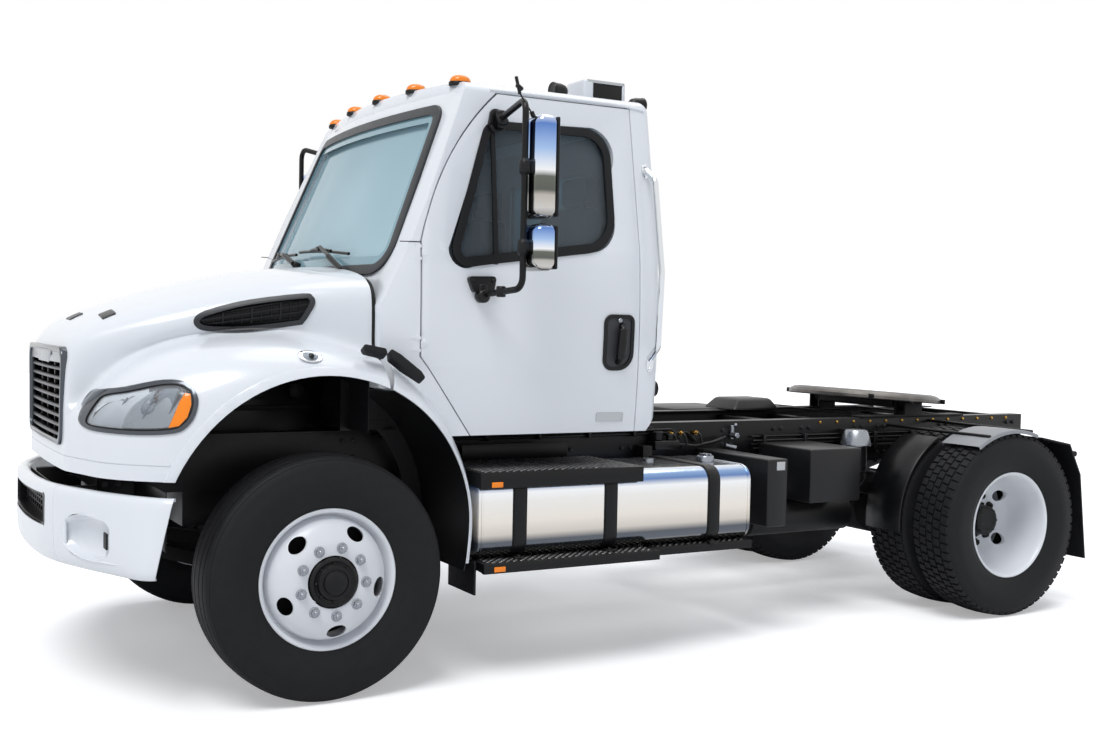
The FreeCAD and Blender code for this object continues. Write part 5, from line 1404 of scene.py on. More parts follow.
class TRACTOR_OT_door_trim(bpy.types.Operator):
    """Door handles, blank plates, mirror brackets, arms and heads, and the whip aerial"""
    bl_idname = "tractor.door_trim"
    bl_label = "Door trim"

    def execute(self, context):
        outline = rounded_outline(HANDLE, HANDLE_BENDS, 6)
        finish_pair(ring_on_side(outline, (0.0, 0.018), 7, 14, 5), "handle_frame", "black_plastic",
                    DOORS, angle=60)
        finish_pair(on_side(grown(outline, -0.014), 1.5, 5, 1), "handle_bowl", "grained_plastic", DOORS)
        y = side_y(0.5, 1.52)
        pull = tube([(0.498, y - 0.004, 1.598), (0.500, y + 0.024, 1.580), (0.503, y + 0.030, 1.52),
                     (0.512, y + 0.024, 1.445), (0.514, y - 0.004, 1.425)], 0.017, 0.02, 5)
        grip = soften(prism([(0.478, y + 0.012, 1.585), (0.524, y + 0.012, 1.585),
                             (0.538, y + 0.012, 1.44), (0.490, y + 0.012, 1.44)], (0, 0.026, 0)), 9, 3)
        finish_pair(joined([pull, grip]), "handle_pull", "black_plastic", DOORS,
                    angle=50)
        lock = rod((0.511, side_y(0.51, 1.622) - 0.002, 1.622), (0.511, y + 0.012, 1.622), 0.011, 2, 20)
        key = block((0.5095, 0.5125), (y + 0.0118, y + 0.0128), (1.616, 1.628), 0)
        finish_pair(joined([lock, key]), "door_lock", "zinc_plate", DOORS)
        edge = rounded_outline([(.617, 1.144), (.470, 1.142), (.469, 1.184), (.616, 1.186)], 0.005, 3)
        plate = on_side(edge, 3, 4, 1)
        rim = ring_on_side(edge, (0.001, 0.004), 4, 5, 0.8)
        finish_pair(joined([plate, rim]), "door_plate", "satin_chrome", DOORS)
        self.mirrors()
        return {"FINISHED"}

    def mirrors(self):
        x, y = 1.195, 1.362
        arm = tube([(1.240, 1.060, 1.722), (x, y, 1.748), (x, y, 2.552), (1.118, 0.975, 2.520)],
                   0.0145, 0.055, 5)
        finish_pair(arm, "mirror_arm", "black_enamel", DOORS,
                    (("left_mirror",), ("right_mirror",)), 50)
        fittings = []
        for z in (2.265, 1.924):
            fittings.append(rod((x, y, z - 0.030), (x, y, z + 0.030), 0.0255, 6))
            fittings.append(rod((x, y, z), (x - 0.045, y, z), 0.018, 3))
            fittings.append(rod((x, y, z - 0.034), (x, y, z + 0.034), 0.020, 2))
        # upper bracket: rounded base with two bolts and a knuckle
        top = [(1.182, 2.455), (1.085, 2.470), (1.078, 2.560), (1.152, 2.572)]
        fittings.append(on_side(rounded_outline(top, 0.026, 5), 16, 22, 6))
        fittings.append(rod((1.118, 0.960, 2.545), (1.118, 1.010, 2.498), 0.026, 6))
        fittings.append(block((1.098, 1.140), (0.958, 1.000), (2.475, 2.560), 12, 3))
        for bx, bz in ((1.158, 2.480), (1.100, 2.490), (1.100, 2.550)):
            fittings.append(rod((bx, side_y(bx, bz) + 0.010, bz), (bx, side_y(bx, bz) + 0.024, bz),
                                0.010, 2, 6))
        # lower bracket: tapered block with a round boss under it
        low = [(1.318, 1.802), (1.178, 1.806), (1.192, 1.735), (1.290, 1.732)]
        fittings.append(on_side(rounded_outline(low, 0.014, 4), 30, 36, 8))
        fittings.append(rod((1.245, 1.050, 1.716), (1.245, 1.108, 1.716), 0.030, 8))
        fittings.append(block((1.222, 1.268), (1.058, 1.098), (1.706, 1.770), 10, 3))
        fittings.append(rod((1.216, 1.205, 1.712), (1.216, 1.205, 1.760), 0.021, 4))
        for bx in (1.300, 1.196):
            fittings.append(rod((bx, 1.080, 1.785), (bx, 1.098, 1.785), 0.009, 2, 6))
        finish_pair(joined(fittings), "mirror_brackets", "black_plastic", DOORS,
                    angle=50)
        # the heads' chrome carries painted reflections of sky, horizon and road by height
        for name, low, high, finish_name in (("main_mirror", 2.047, 2.484, "head_chrome_painted_reflection"),
                                             ("wide_mirror", 1.824, 2.024, "wide_chrome_painted_reflection")):
            shell = block((1.078, 1.174), (1.274, 1.452), (low, high), 34, 6)
            for vertex in shell.data.vertices:
                # a belly on the outer face and a slimmer inner edge
                t = (vertex.co.z - (low + high) / 2) / ((high - low) / 2)
                if vertex.co.y > 1.43:
                    vertex.co.y += 0.006 * (1 - t * t)
                if vertex.co.x > 1.16:
                    vertex.co.x += 0.008 * (1 - t * t)
            finish_pair(shell, name + "_shell", finish_name, DOORS, angle=70)
            rim = block((1.070, 1.084), (1.284, 1.444), (low + 0.008, high - 0.008), 6, 3)
            finish_pair(rim, name + "_rim", "black_rubber", DOORS)
            glass = block((1.066, 1.072), (1.294, 1.434), (low + 0.018, high - 0.018), 2.5, 3)
            finish_pair(glass, name + "_glass", "mirror_glass", DOORS)
        # the right mirror is set forward and its arm's head up; its reach to the side stays
        forward, up = 0.069, 0.070
        for piece in bpy.context.scene.objects:
            if not piece.name.startswith("right_") or "mirror" not in piece.name or "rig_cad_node" in piece:
                continue
            for vertex in piece.data.vertices:
                x, y, z = vertex.co
                reach = min(1.0, max(0.0, (abs(y) - 1.08) / 0.25))
                lift = min(1.0, max(0.0, (z - 2.20) / 0.30)) if "arm" in piece.name or z > 2.5 else 0.0
                vertex.co += reach * Vector((forward, 0, up * lift))
        base = rod((1.150, 1.355, 2.472), (1.165, 1.356, 2.500), 0.010, 2, 16)
        whip = tube([(1.160, 1.356, 2.490), (1.215, 1.357, 2.560), (1.238, 1.358, 2.600)], 0.0035, 0.02)
        coil = rod((1.222, 1.357, 2.566), (1.243, 1.358, 2.640), 0.0075, 3, 16)
        tip = rod((1.240, 1.357, 2.605), (1.208, 1.352, 2.588), 0.010, 4, 16)
        finish(joined([base, whip, coil, tip]), "whip_aerial", "black_plastic", "left_door",
               angle=50)


class TRACTOR_OT_cab_trim(bpy.types.Operator):
    """Roof lamps, roof housing, gutter, grab handles' feet, seals, latch and rear fender bands"""
    bl_idname = "tractor.cab_trim"
    bl_label = "Cab trim"

    def execute(self, context):
        self.roof()
        self.gutter()
        self.feet()
        self.fender_bands()
        self.latch_and_seal()
        self.seams()
        return {"FINISHED"}

    def seams(self):
        """Fine dark lines along the joints of the cowl's panels: painted shade of the grooves between them.
        """
        lines = []
        for z, x0, x1 in ((1.945, 1.526, 1.612), (1.364, 1.530, 1.556)):
            places = [x0 + (x1 - x0) * k / 4 for k in range(5)]
            lines.append(tube([(x, side_y(x, z) - 0.0006, z) for x in places], 0.0022, sides=3,
                              smooth=True))
        finish_pair(joined(lines), "cowl_seams", "black_rubber", "chassis", angle=50)

    def roof(self):
        domes, bases = [], []
        for behind_axle, y in ((665, 0), (678, .40), (678, -.40), (722, .80), (722, -.80)):
            x = behind(behind_axle)
            z = 2.690 + 0.022 * (1 - (y / 0.86) ** 2)
            tilt = Matrix.Rotation(math.radians(-2.9 * y), 4, "X")
            place = Matrix.Translation((x, y, z - 0.002)) @ tilt
            stretch = Matrix.Diagonal((1.25, 1.0, 1.0, 1.0))
            dome = lathe([(0, .006), (.040, .006), (.0405, .013), (.038, .022), (.031, .032),
                          (.019, .0385), (0, .041)], axis="Z", steps=32)
            domes.append(placed(dome, place @ stretch))
            base = lathe([(0, -.010), (.044, -.010), (.044, .004), (.041, .009), (0, .009)], axis="Z",
                         steps=32)
            bases.append(placed(base, place @ stretch))
        finish(joined(domes), "roof_lamp_domes", "amber_lens", "chassis", ("roof_lamps",),
               60)
        finish(joined(bases), "roof_lamp_bases", "black_rubber", "chassis")
        x, y, z = (behind(1660), behind(1420)), (0.562, 0.738), (2.688, 2.804)
        ends = [block((x[0], x[0] + 0.016), y, z, 5, 3), block((x[1] - 0.060, x[1]), y, z, 14, 4)]
        finish(joined(ends), "roof_housing_ends", "white_enamel", "chassis")
        body = block((x[0] + 0.012, x[1] - 0.055), (y[0] + 0.006, y[1] - 0.006), (z[0], z[1] - 0.012), 4)
        finish(body, "roof_housing", "black_plastic", "chassis")
        cap = block((x[0] + 0.004, x[1] - 0.02), y, (z[1] - 0.016, z[1]), 4)
        finish(cap, "roof_housing_cap", "satin_chrome", "chassis")
        lamps = []
        for x, y, z, way in ((0.655, 0.690, 2.738, 1), (0.285, 0.820, 2.686, -1), (0.285, -0.820, 2.686, -1)):
            lamp = lathe([(0, -.045), (.018, -.043), (.030, -.030), (.036, -.008), (.038, .024),
                          (.040, .028), (.040, .036), (.036, .040), (.034, .037), (0, .034)], axis="X",
                         steps=32)
            turn = Matrix.Rotation(math.pi, 4, "Z") if way < 0 else Matrix.Identity(4)
            lamps.append(placed(lamp, Matrix.Translation((x, y, z)) @ turn))
            lamps.append(block((x - 0.010, x + 0.010), (y - 0.012, y + 0.012), (z - 0.075, z - 0.03), 4))
            lamps.append(block((x - 0.026, x + 0.026), (y - 0.020, y + 0.020), (z - 0.075, z - 0.062), 3))
        lamp = lathe([(0, -.030), (.020, -.028), (.032, -.016), (.038, .008), (.040, .030), (0, .034)],
                     axis="X", steps=32)
        turn = Matrix.Rotation(math.pi, 4, "Z")
        lamps.append(placed(lamp, Matrix.Translation((0.225, 0.900, 1.290)) @ turn))
        lamps.append(block((0.235, 0.272), (0.885, 0.915), (1.275, 1.305), 4))
        finish(joined(lamps), "work_lamps", "black_plastic", "chassis", angle=50)

    def gutter(self):
        """Rain gutter that runs along the top of the door to the rear of the roof."""
        path = [(1.150, side_y(1.15, 2.655) - 0.002, 2.656)]
        for x in (1.0, 0.8, 0.6, 0.42):
            path.append((x, side_y(x, 2.655) + 0.001, 2.657))
        path.append((0.318, side_y(0.318, 2.640), 2.640))
        finish_pair(tube(path, 0.0065, sides=3, smooth=True), "roof_gutter", "white_enamel", "chassis",
                    angle=60)

    def feet(self):
        """Oval bolted feet of the grab handles."""
        parts = []
        for x, z in ((0.335, 2.345), (0.335, 1.415)):
            y = side_y(x, z)
            ring = [(x + 0.020 * math.cos(a), z + 0.038 * math.sin(a))
                    for a in (math.tau * i / 24 for i in range(24))]
            parts.append(on_side(ring, 7, 9, 2))
            for dz in (-0.022, 0.022):
                parts.append(rod((x, y + 0.005, z + dz), (x, y + 0.012, z + dz), 0.007, 2, 12))
        finish_pair(joined(parts), "grab_handle_feet", "chrome_plate", "chassis", angle=50)

    def fender_bands(self):
        """Rear part of each front fender, which stays on the cab, with its inner liner."""
        cx, cz = ARCH_CENTRE
        # angle behind straight up, outer radius
        course = [(24.6, .781), (30, .772), (38, .757), (48, .741), (60, .725), (74, .713), (88, .707),
                  (105, .704)]
        rows = []
        for angle, outer in course:
            wide = outer - ARCH_RADIUS
            a = math.radians(angle)
            row = []
            for y, share in ((0.94, 0.0), (1.00, 0.06), (1.062, 0.26), (1.118, 0.62), (1.145, 0.95),
                             (1.147, 1.0), (1.138, 1.0)):
                r = outer - wide * share
                row.append((cx - r * math.sin(a), y, cz + r * math.cos(a)))
            rows.append(row)
        band = outward(sheet(rows), 1)
        modify(band, "SUBSURF", levels=2, render_levels=2)
        modify(band, "SOLIDIFY", thickness=0.008, offset=-1)
        left, right = mirrored_pair(soften(band, 2, 2, 50))
        finish(left, "left_fender_band", "white_enamel", "chassis",
               ("fender_extensions",))
        finish(right, "right_fender_band", "white_enamel", "chassis")
        rows = []
        for k in range(15):
            a = math.radians(26 + 82 * k / 14)
            rows.append([(cx - r * math.sin(a), y, cz + r * math.cos(a)) for y, r in
                         ((0.62, .560), (0.622, .645), (0.85, .652), (1.00, .653), (1.135, .654))])
        liner = sheet(rows)
        modify(liner, "SOLIDIFY", thickness=0.005, offset=0)
        finish_pair(liner, "fender_liner", "black_plastic", "chassis", angle=50)
        pad = [block((1.6915, 1.6965), (-0.88, 0.88), (1.10, 1.66), 2),
               block((1.6915, 1.7005), (-0.62, -0.20), (1.20, 1.60), 3),
               block((1.6915, 1.7005), (0.20, 0.62), (1.20, 1.60), 3)]
        finish(joined(pad), "cowl_blanket", "black_rubber", "chassis")

    def latch_and_seal(self):
        section = HOOD_SECTIONS[-1]
        path = [Vector((1.6935, y, z - 0.004)) for y, z in half_section(section)[2:9]]
        whole = [Vector((p.x, -p.y, p.z)) for p in reversed(path)] + path
        finish(tube(whole, 0.0085, smooth=True), "hood_seal", "black_rubber", "chassis",
               angle=60)
        upper = [(1.812, 1.482), (1.706, 1.462), (1.700, 1.430), (1.800, 1.452)]
        lower = [(1.690, 1.466), (1.640, 1.436), (1.556, 1.366), (1.540, 1.338), (1.556, 1.328),
                 (1.640, 1.382), (1.690, 1.424)]
        for name, outline, body in (("latch_strap", upper, "hood"), ("latch_base", lower, "chassis")):
            ring = rounded_outline(outline, 0.010, 4)
            strap = prism([(x, 1.066 + 0.35 * (1.45 - z), z) for x, z in ring], (0, 0.045, 0.022))
            finish_pair(soften(strap, 5, 3, 40), name, "black_rubber", body, angle=60)


# ---- chassis ----------------------------------------------------------------------------------
# places along X are in metres from the origin; the left side is +Y
TANK = dict(x=(-0.275, 1.255), y=(0.515, 1.100), z=(0.541, 0.911), corner=0.075)
STRAP_PLACES = (1.045, 0.560, -0.040)
COUPLING = Vector((REAR_AXLE, 0, 1.140))


def tank_outline(grow=0.0):
    (y0, y1), (z0, z1) = TANK["y"], TANK["z"]
    ring = [(y0 - grow, z0 - grow), (y0 - grow, z1 + grow), (y1 + grow, z1 + grow), (y1 + grow, z0 - grow)]
    return rounded_outline(ring, TANK["corner"] + grow, 8)


def along_x(ring, start, end):
    """Prism of a Y, Z outline from one X to another."""
    return prism([(start, y, z) for y, z in ring], (end - start, 0, 0))


def softened_node(node, material, body="chassis", mm=3, drop=None):
    """Copy of a plain piece with small rounded edges; drop tells which of its solids go."""
    piece = from_node(node)
    with editing(piece):
        bpy.ops.mesh.dissolve_limited(angle_limit=math.radians(0.8))
    if drop:
        with editing(piece):
            bpy.ops.mesh.separate(type="LOOSE")
        parts = list(bpy.context.selected_objects)
        kept = []
        for part in parts:
            corners = [vertex.co for vertex in part.data.vertices]
            low = Vector([min(c[i] for c in corners) for i in range(3)])
            high = Vector([max(c[i] for c in corners) for i in range(3)])
            if drop(low, high):
                bpy.data.objects.remove(part)
            else:
                kept.append(part)
        piece = joined(kept)
    return finish(soften(piece, mm, 2, 32), node + "_form", material, body, (node,), angle=40)


def studs(x, y, z, pitch=0.036):
    """Staggered raised studs on a tread plate's top."""
    one = lathe([(0, 0.0045), (0.0050, 0.0045), (0.0085, 0.0010), (0.0095, -0.001)], axis="Z", steps=8)
    row = 0
    pieces = []
    across = y[0] + pitch / 2
    while across < y[1] - pitch / 4:
        place = x[0] + pitch * (0.5 if row % 2 else 1.0)
        while place < x[1] - pitch / 4:
            pieces.append(copied(one, Matrix.Translation((place, across, z))))
            place += pitch
        across += pitch / 2
        row += 1
    bpy.data.objects.remove(one)
    return joined(pieces)


def bolt_heads(places, radius=0.011, high=0.010):
    """Hexagon heads with washers on the frame's sides; places are (X, Y, Z), out along Y."""
    one = joined([rod((0, -0.001, 0), (0, 0.0035, 0), radius * 1.3, 1, 12),
                  rod((0, 0, 0), (0, high, 0), radius, 1.5, 6)])
    heads = [copied(one, Matrix.Translation(place) @ (FLIP if place[1] < 0 else Matrix.Identity(4)))
             for place in places]
    bpy.data.objects.remove(one)
    return joined(heads)


class TRACTOR_OT_tank(bpy.types.Operator):
    """Polished fuel tank with end rims, filler and three straps"""
    bl_idname = "tractor.tank"
    bl_label = "Fuel tank"

    def execute(self, context):
        x = TANK["x"]
        shell = soften(along_x(tank_outline(), *x), 14, 5, 60)
        parts = [shell]
        for start, end in ((x[0] + 0.016, x[0] + 0.026), (x[1] - 0.026, x[1] - 0.016)):
            parts.append(soften(along_x(tank_outline(0.003), start, end), 2, 2, 60))
        # the shell's aluminium carries painted reflections of ground, horizon and sky by height
        finish(joined(parts), "fuel_tank_shell", "tank_aluminium_painted_reflection", "chassis",
               ("fuel_tank",), 60)
        half = sizes().strap_width / 2
        bands, rubbers = [], []
        for x in STRAP_PLACES:
            band = along_x(tank_outline(0.0055), x - half, x + half)
            combine(band, along_x(tank_outline(0.001), x - 0.1, x + 0.1))
            bands.append(soften(band, 1.5, 2, 50))
            bands.append(soften(block((x - half, x + half), (0.500, 0.520), (0.60, 0.86), 4), 2))
            bands.append(rod((x, 1.094, 0.552), (x, 1.094, 0.520), 0.008, 1))
            bands.append(block((x - 0.024, x + 0.024), (1.070, 1.112), (0.530, 0.545), 4))
            for y in (0.432, 0.500):
                bands.append(block((x - half, x + half), (0.432, y + 0.012), (0.60, 0.612), 3))
            strip = along_x(tank_outline(0.0028), x - half - 0.006, x + half + 0.006)
            combine(strip, along_x(tank_outline(0.0004), x - 0.1, x + 0.1))
            rubbers.append(strip)
        finish(joined(bands), "tank_bands", "black_enamel", "chassis", ("tank_straps",),
               50)
        finish(joined(rubbers), "tank_band_rubbers", "black_rubber", "chassis", angle=50)
        top = TANK["z"][1]
        cap = lathe([(0, .030), (.040, .030), (.044, .026), (.046, .004), (.038, .003), (.038, -.004),
                     (0, -.004)], (-0.159, 0.86, top), "Z", 32)
        lugs = [block((-0.159 + dx - 0.006, -0.159 + dx + 0.006), (0.828, 0.892), (top + 0.028, top + 0.040),
                      3) for dx in (-0.012, 0.012)]
        sender = lathe([(0, .010), (.028, .010), (.030, .007), (.030, -.002), (0, -.002)],
                       (0.10, 0.72, top), "Z", 24)
        finish(joined([cap, sender] + lugs), "tank_filler", "zinc_plate", "chassis", angle=40)
        return {"FINISHED"}


class TRACTOR_OT_steps(bpy.types.Operator):
    """Entry steps: folded tread plates with raised studs, kick plate, reflectors, brackets"""
    bl_idname = "tractor.steps"
    bl_label = "Steps"

    def execute(self, context):
        plates, dots = [], []
        # X, Y and Z of the tread, depth of its folded front
        treads = [((0.400, 1.260), (0.620, 1.132), 0.934, 0.072),
                  ((0.322, 1.255), (0.930, 1.170), 0.534, 0.044),
                  ((-0.285, 0.318), (0.930, 1.098), 0.534, 0.040)]
        for x, y, top, fold in treads:
            ring = rounded_outline([(y[0], top - fold * 0.6), (y[0], top), (y[1], top),
                                    (y[1], top - fold), (y[1] - 0.022, top - fold),
                                    (y[1] - 0.022, top - fold + 0.004), (y[1] - 0.005, top - fold + 0.004),
                                    (y[1] - 0.005, top - 0.005), (y[0] + 0.005, top - 0.005),
                                    (y[0] + 0.005, top - fold * 0.6)], 0.0021, 2)
            plates.append(along_x(ring, *x))
            for end in x:
                inner = end + (0.003 if end == x[0] else -0.003)
                plates.append(along_x([(y[0] + 0.003, top - 0.003), (y[1] - 0.003, top - 0.003),
                                       (y[1] - 0.003, top - fold + 0.002),
                                       (y[0] + 0.003, top - fold * 0.6)], min(end, inner),
                                      max(end, inner)))
            dots.append(studs((x[0] + 0.012, x[1] - 0.012), (y[0] + 0.012, y[1] - 0.012), top))
        plates.append(block((0.528, 1.112), (0.622, 0.627), (0.930, 1.010), 2))
        for x in (0.36, 0.80, 1.18):
            plates.append(prism([(x, 0.56, 0.530), (x, 1.09, 0.496), (x, 1.09, 0.486), (x, 0.95, 0.470),
                                 (x, 0.56, 0.500)], (0.03, 0, 0), 2))
        for x in (-0.18, 0.06):
            plates.append(prism([(x, 0.60, 0.530), (x, 1.04, 0.496), (x, 1.04, 0.486), (x, 0.90, 0.466),
                                 (x, 0.60, 0.500)], (0.03, 0, 0), 2))
        finish(joined(plates), "tread_plates", "black_enamel", "chassis",
               ("cab_steps",), 40)
        finish(joined(dots), "tread_studs", "worn_steel", "chassis", angle=50)
        lamps = [block((1.150, 1.206), (1.130, 1.1365), (0.868, 0.892), 3, 3),
                 block((1.150, 1.206), (1.168, 1.1745), (0.497, 0.520), 3, 3)]
        finish(joined(lamps), "step_reflectors", "amber_lens", "chassis")
        softened_node("step_brackets", "black_enamel")
        return {"FINISHED"}


class TRACTOR_OT_frame_fittings(bpy.types.Operator):
    """Frame rails with bolts, side boxes, pipes and fittings, air tanks, axles and springs"""
    bl_idname = "tractor.frame_fittings"
    bl_label = "Frame and fittings"

    def execute(self, context):
        softened_node("frame_rails", "black_enamel", mm=2)
        for node in ("air_tanks", "exhaust", "driveline", "engine_block", "radiator"):
            softened_node(node, "black_enamel", mm=3)
        for node in ("rear_axle", "front_axle_beam", "leaf_springs"):
            softened_node(node, "cast_iron", mm=3)
        self.engine_bay()
        self.boxes()
        self.bolts()
        self.pipes()
        return {"FINISHED"}

    def engine_bay(self):
        """What shows of the engine through the arches and under the raised hood."""
        cover = block((1.80, 2.30), (-0.15, 0.15), (1.498, 1.545), 18, 4)
        parts = [cover]
        for x in (1.88, 1.98, 2.08, 2.18):
            parts.append(block((x - 0.012, x + 0.012), (-0.13, 0.13), (1.540, 1.552), 4))
        for side in (-1, 1):
            for z in (0.86, 1.02, 1.18, 1.34):
                parts.append(block((1.76, 2.32), (side * 0.289, side * 0.300), (z - 0.012, z + 0.012), 4))
            for x in (1.84, 2.02, 2.20):
                parts.append(rod((x, side * 0.285, 1.26), (x, side * 0.345, 1.26), 0.038, 6))
        parts.append(tube([(1.90, 0.30, 1.40), (1.90, 0.42, 1.42), (2.24, 0.44, 1.36), (2.44, 0.34, 1.30)],
                          0.034, 0.09))
        parts.append(tube([(2.10, -0.30, 1.38), (2.16, -0.44, 1.38), (2.40, -0.40, 1.30),
                           (2.47, -0.30, 1.26)], 0.034, 0.09))
        finish(joined(parts), "engine_fittings", "cast_iron", "chassis", angle=50)

    def boxes(self):
        softened_node("side_boxes", "black_satin", mm=9, drop=lambda low, high: high.z > 1.10)
        cover = prism([(-1.58, -0.60, 1.076), (-1.58, -0.26, 1.076), (-1.20, -0.26, 1.076),
                       (-1.20, -0.60, 1.076)], (0, 0, 0.074))
        for vertex in cover.data.vertices:
            if vertex.co.z > 1.12:
                vertex.co.x += 0.045 if vertex.co.x < -1.39 else -0.065
                vertex.co.y += 0.05 if vertex.co.y < -0.43 else -0.05
        finish(soften(cover, 22, 4, 20), "equipment_cover", "black_satin", "chassis",
               angle=40)
        plate = block((-0.519, -0.465), (1.0595, 1.0615), (0.873, 0.917), 1)
        finish(plate, "blank_plate", "satin_chrome", "chassis")
        cap = lathe([(0, 1.030), (.050, 1.030), (.060, 1.027), (.067, 1.018), (.084, .960), (.086, .944),
                     (.082, .938), (0, .938)], (-1.375, 0.655, 0), "Z", 40)
        neck = lathe([(0, .944), (.062, .944), (.062, .930), (.058, .926), (.058, .79), (0, .79)],
                     (-1.375, 0.655, 0), "Z", 32)
        finish(cap, "canister_cap", "zinc_plate", "chassis", angle=35)
        finish(neck, "canister_neck", "black_satin", "chassis")

    def bolts(self):
        joints = (2.70, 1.62, 1.02, 0.74, 0.42, 0.05, -0.29, -0.62, -0.98, -1.19, -1.60, -1.78, -2.30,
                  -2.42, -2.90)
        places = [(x + dx, y, z) for y in (-RAIL_OUT, RAIL_OUT) for x in joints
                  for dx in (-0.028, 0.028) for z in (0.868, 0.947, 1.026)]
        finish(bolt_heads(places), "frame_bolts", "zinc_dull", "chassis", angle=40)
        places = [(-1.30 - 0.13 * k, RAIL_OUT, 1.055) for k in range(13)]
        finish(bolt_heads(places, 0.007, 0.008), "rail_studs", "brass", "chassis",
               angle=40)

    def pipes(self):
        lines = []
        for k, (y, z) in enumerate(((0.446, 1.052), (0.462, 1.040), (0.446, 1.020))):
            path = [(1.50 - 0.05 * k, y, z), (-0.10 - 0.12 * k, y, z), (-0.16 - 0.12 * k, y, z - 0.05)]
            lines.append(tube(path, 0.0075, 0.03, 4))
        for k in range(4):
            y = 0.448 + 0.016 * (k % 2)
            lines.append(tube([(-0.78, y, 0.985 - 0.022 * k), (-2.30 - 0.08 * k, y, 0.985 - 0.022 * k)],
                              0.0065, sides=4))
        for x in (1.20, 0.90, 0.60, 0.30, 0.02, -0.86, -1.16, -1.70, -2.0, -2.25):
            lines.append(block((x - 0.010, x + 0.010), (0.432, 0.476), (0.90, 0.996) if x < -0.5
                               else (1.008, 1.064), 3))
        # rigid line from the canister down to the air tanks
        lines.append(tube([(-1.375, 0.60, 0.84), (-1.30, 0.57, 0.74), (-1.10, 0.60, 0.672)], 0.008, 0.04, 4))
        lines.append(tube([(-1.375, 0.70, 0.84), (-1.46, 0.66, 0.76), (-1.36, 0.62, 0.62)], 0.008, 0.04, 4))
        lines.append(tube([(1.26, 0.58, 0.90), (1.30, 0.56, 0.98), (1.34, 0.46, 1.02)], 0.010, 0.05, 4))
        finish(joined(lines), "rigid_lines", "black_plastic", "chassis", angle=50)
        brass, bright, dark = [], [], []
        for x in (-0.222, -0.288, -0.389):
            brass.append(rod((x, 0.432, 1.018), (x, 0.462, 1.018), 0.013, 2, 6))
            brass.append(rod((x, 0.462, 1.018), (x, 0.478, 1.018), 0.008, 2, 16))
            dark.append(tube([(x, 0.478, 1.018), (x, 0.500, 1.010), (x - 0.01, 0.505, 0.96)], 0.006,
                             0.02, 4))
        bright.append(rod((-0.651, 0.440, 0.975), (-0.651, 0.440, 1.052), 0.013, 3, 24))
        bright.append(rod((-0.651, 0.432, 0.998), (-0.651, 0.492, 0.998), 0.017, 3, 6))
        bright.append(rod((-0.640, 0.486, 1.060), (-0.668, 0.452, 1.046), 0.008, 2, 16))
        bright.append(rod((-0.60, 0.45, 0.945), (-0.66, 0.47, 0.93), 0.010, 2, 16))
        dark.append(block((-0.24, -0.08), (0.440, 0.520), (0.935, 0.985), 8, 3))
        dark.append(rod((-0.12, 0.48, 0.985), (-0.12, 0.48, 1.035), 0.030, 5, 24))
        dark.append(rod((-0.20, 0.48, 0.985), (-0.20, 0.48, 1.020), 0.022, 4, 24))
        dark.append(tube([(-0.24, 0.48, 0.96), (-0.36, 0.50, 0.95), (-0.46, 0.52, 0.97),
                          (-0.58, 0.47, 0.99)], 0.009, 0.06, 4))
        finish(joined(brass), "brass_fittings", "brass", "chassis", angle=40)
        finish(joined(bright), "drain_valve", "zinc_plate", "chassis", angle=40)
        finish(joined(dark), "line_manifold", "black_plastic", "chassis", angle=40)


class TRACTOR_OT_rear_guards(bpy.types.Operator):
    """Rear wheel guards: front quarters, grey crown sheets with turned edges, stays and flaps"""
    bl_idname = "tractor.rear_guards"
    bl_label = "Rear guards"

    def execute(self, context):
        quarter = self.arc(96, 28, 0.615, 0.885, 0.5365, 0.003, 0.012)
        finish_pair(quarter, "rear_quarter", "black_plastic", "chassis",
                    (("rear_fenders",), ()), 50)
        crown = self.arc(33, -20, 0.948, 1.222, 0.5375, 0.002, 0.020)
        finish_pair(crown, "rear_crown", "grey_sheet", "chassis", angle=50)
        stays = []
        cx, cz = REAR_AXLE, AXLE_HEIGHT
        for angle, reach in ((22, 1.215), (-15, 1.215), (62, 0.880)):
            a = math.radians(angle)
            x, z = cx + 0.533 * math.sin(a), cz + 0.548 * math.cos(a)
            if angle == 62:
                stays.append(rod((x, 0.432, z - 0.012), (x, 0.622, z - 0.012), 0.014, 2, 20))
            else:
                stays.append(rod((x, 0.432, z), (x, reach, z - 0.004), 0.0095, 2, 20))
        finish_pair(joined(stays), "guard_stays", "black_enamel", "chassis", angle=50)
        softened_node("mudflaps", "black_rubber", mm=2)
        return {"FINISHED"}

    def arc(self, start, end, y0, y1, radius, thick, lip):
        """Bent sheet over the rear wheel between two angles, its long edges turned down."""
        cx, cz = REAR_AXLE, AXLE_HEIGHT
        rows = []
        steps = max(8, abs(start - end) // 4)
        for k in range(steps + 1):
            a = math.radians(start + (end - start) * k / steps)
            row = []
            for y, drop in ((y0, lip), (y0, 0.004), (y0 + 0.004, 0.0), ((y0 + y1) / 2, -0.001),
                            (y1 - 0.004, 0.0), (y1, 0.004), (y1, lip)):
                r = radius - drop
                row.append((cx + r * math.sin(a), y, cz + r * math.cos(a)))
            rows.append(row)
        piece = sheet(rows)
        return modify(piece, "SOLIDIFY", thickness=thick, offset=0)


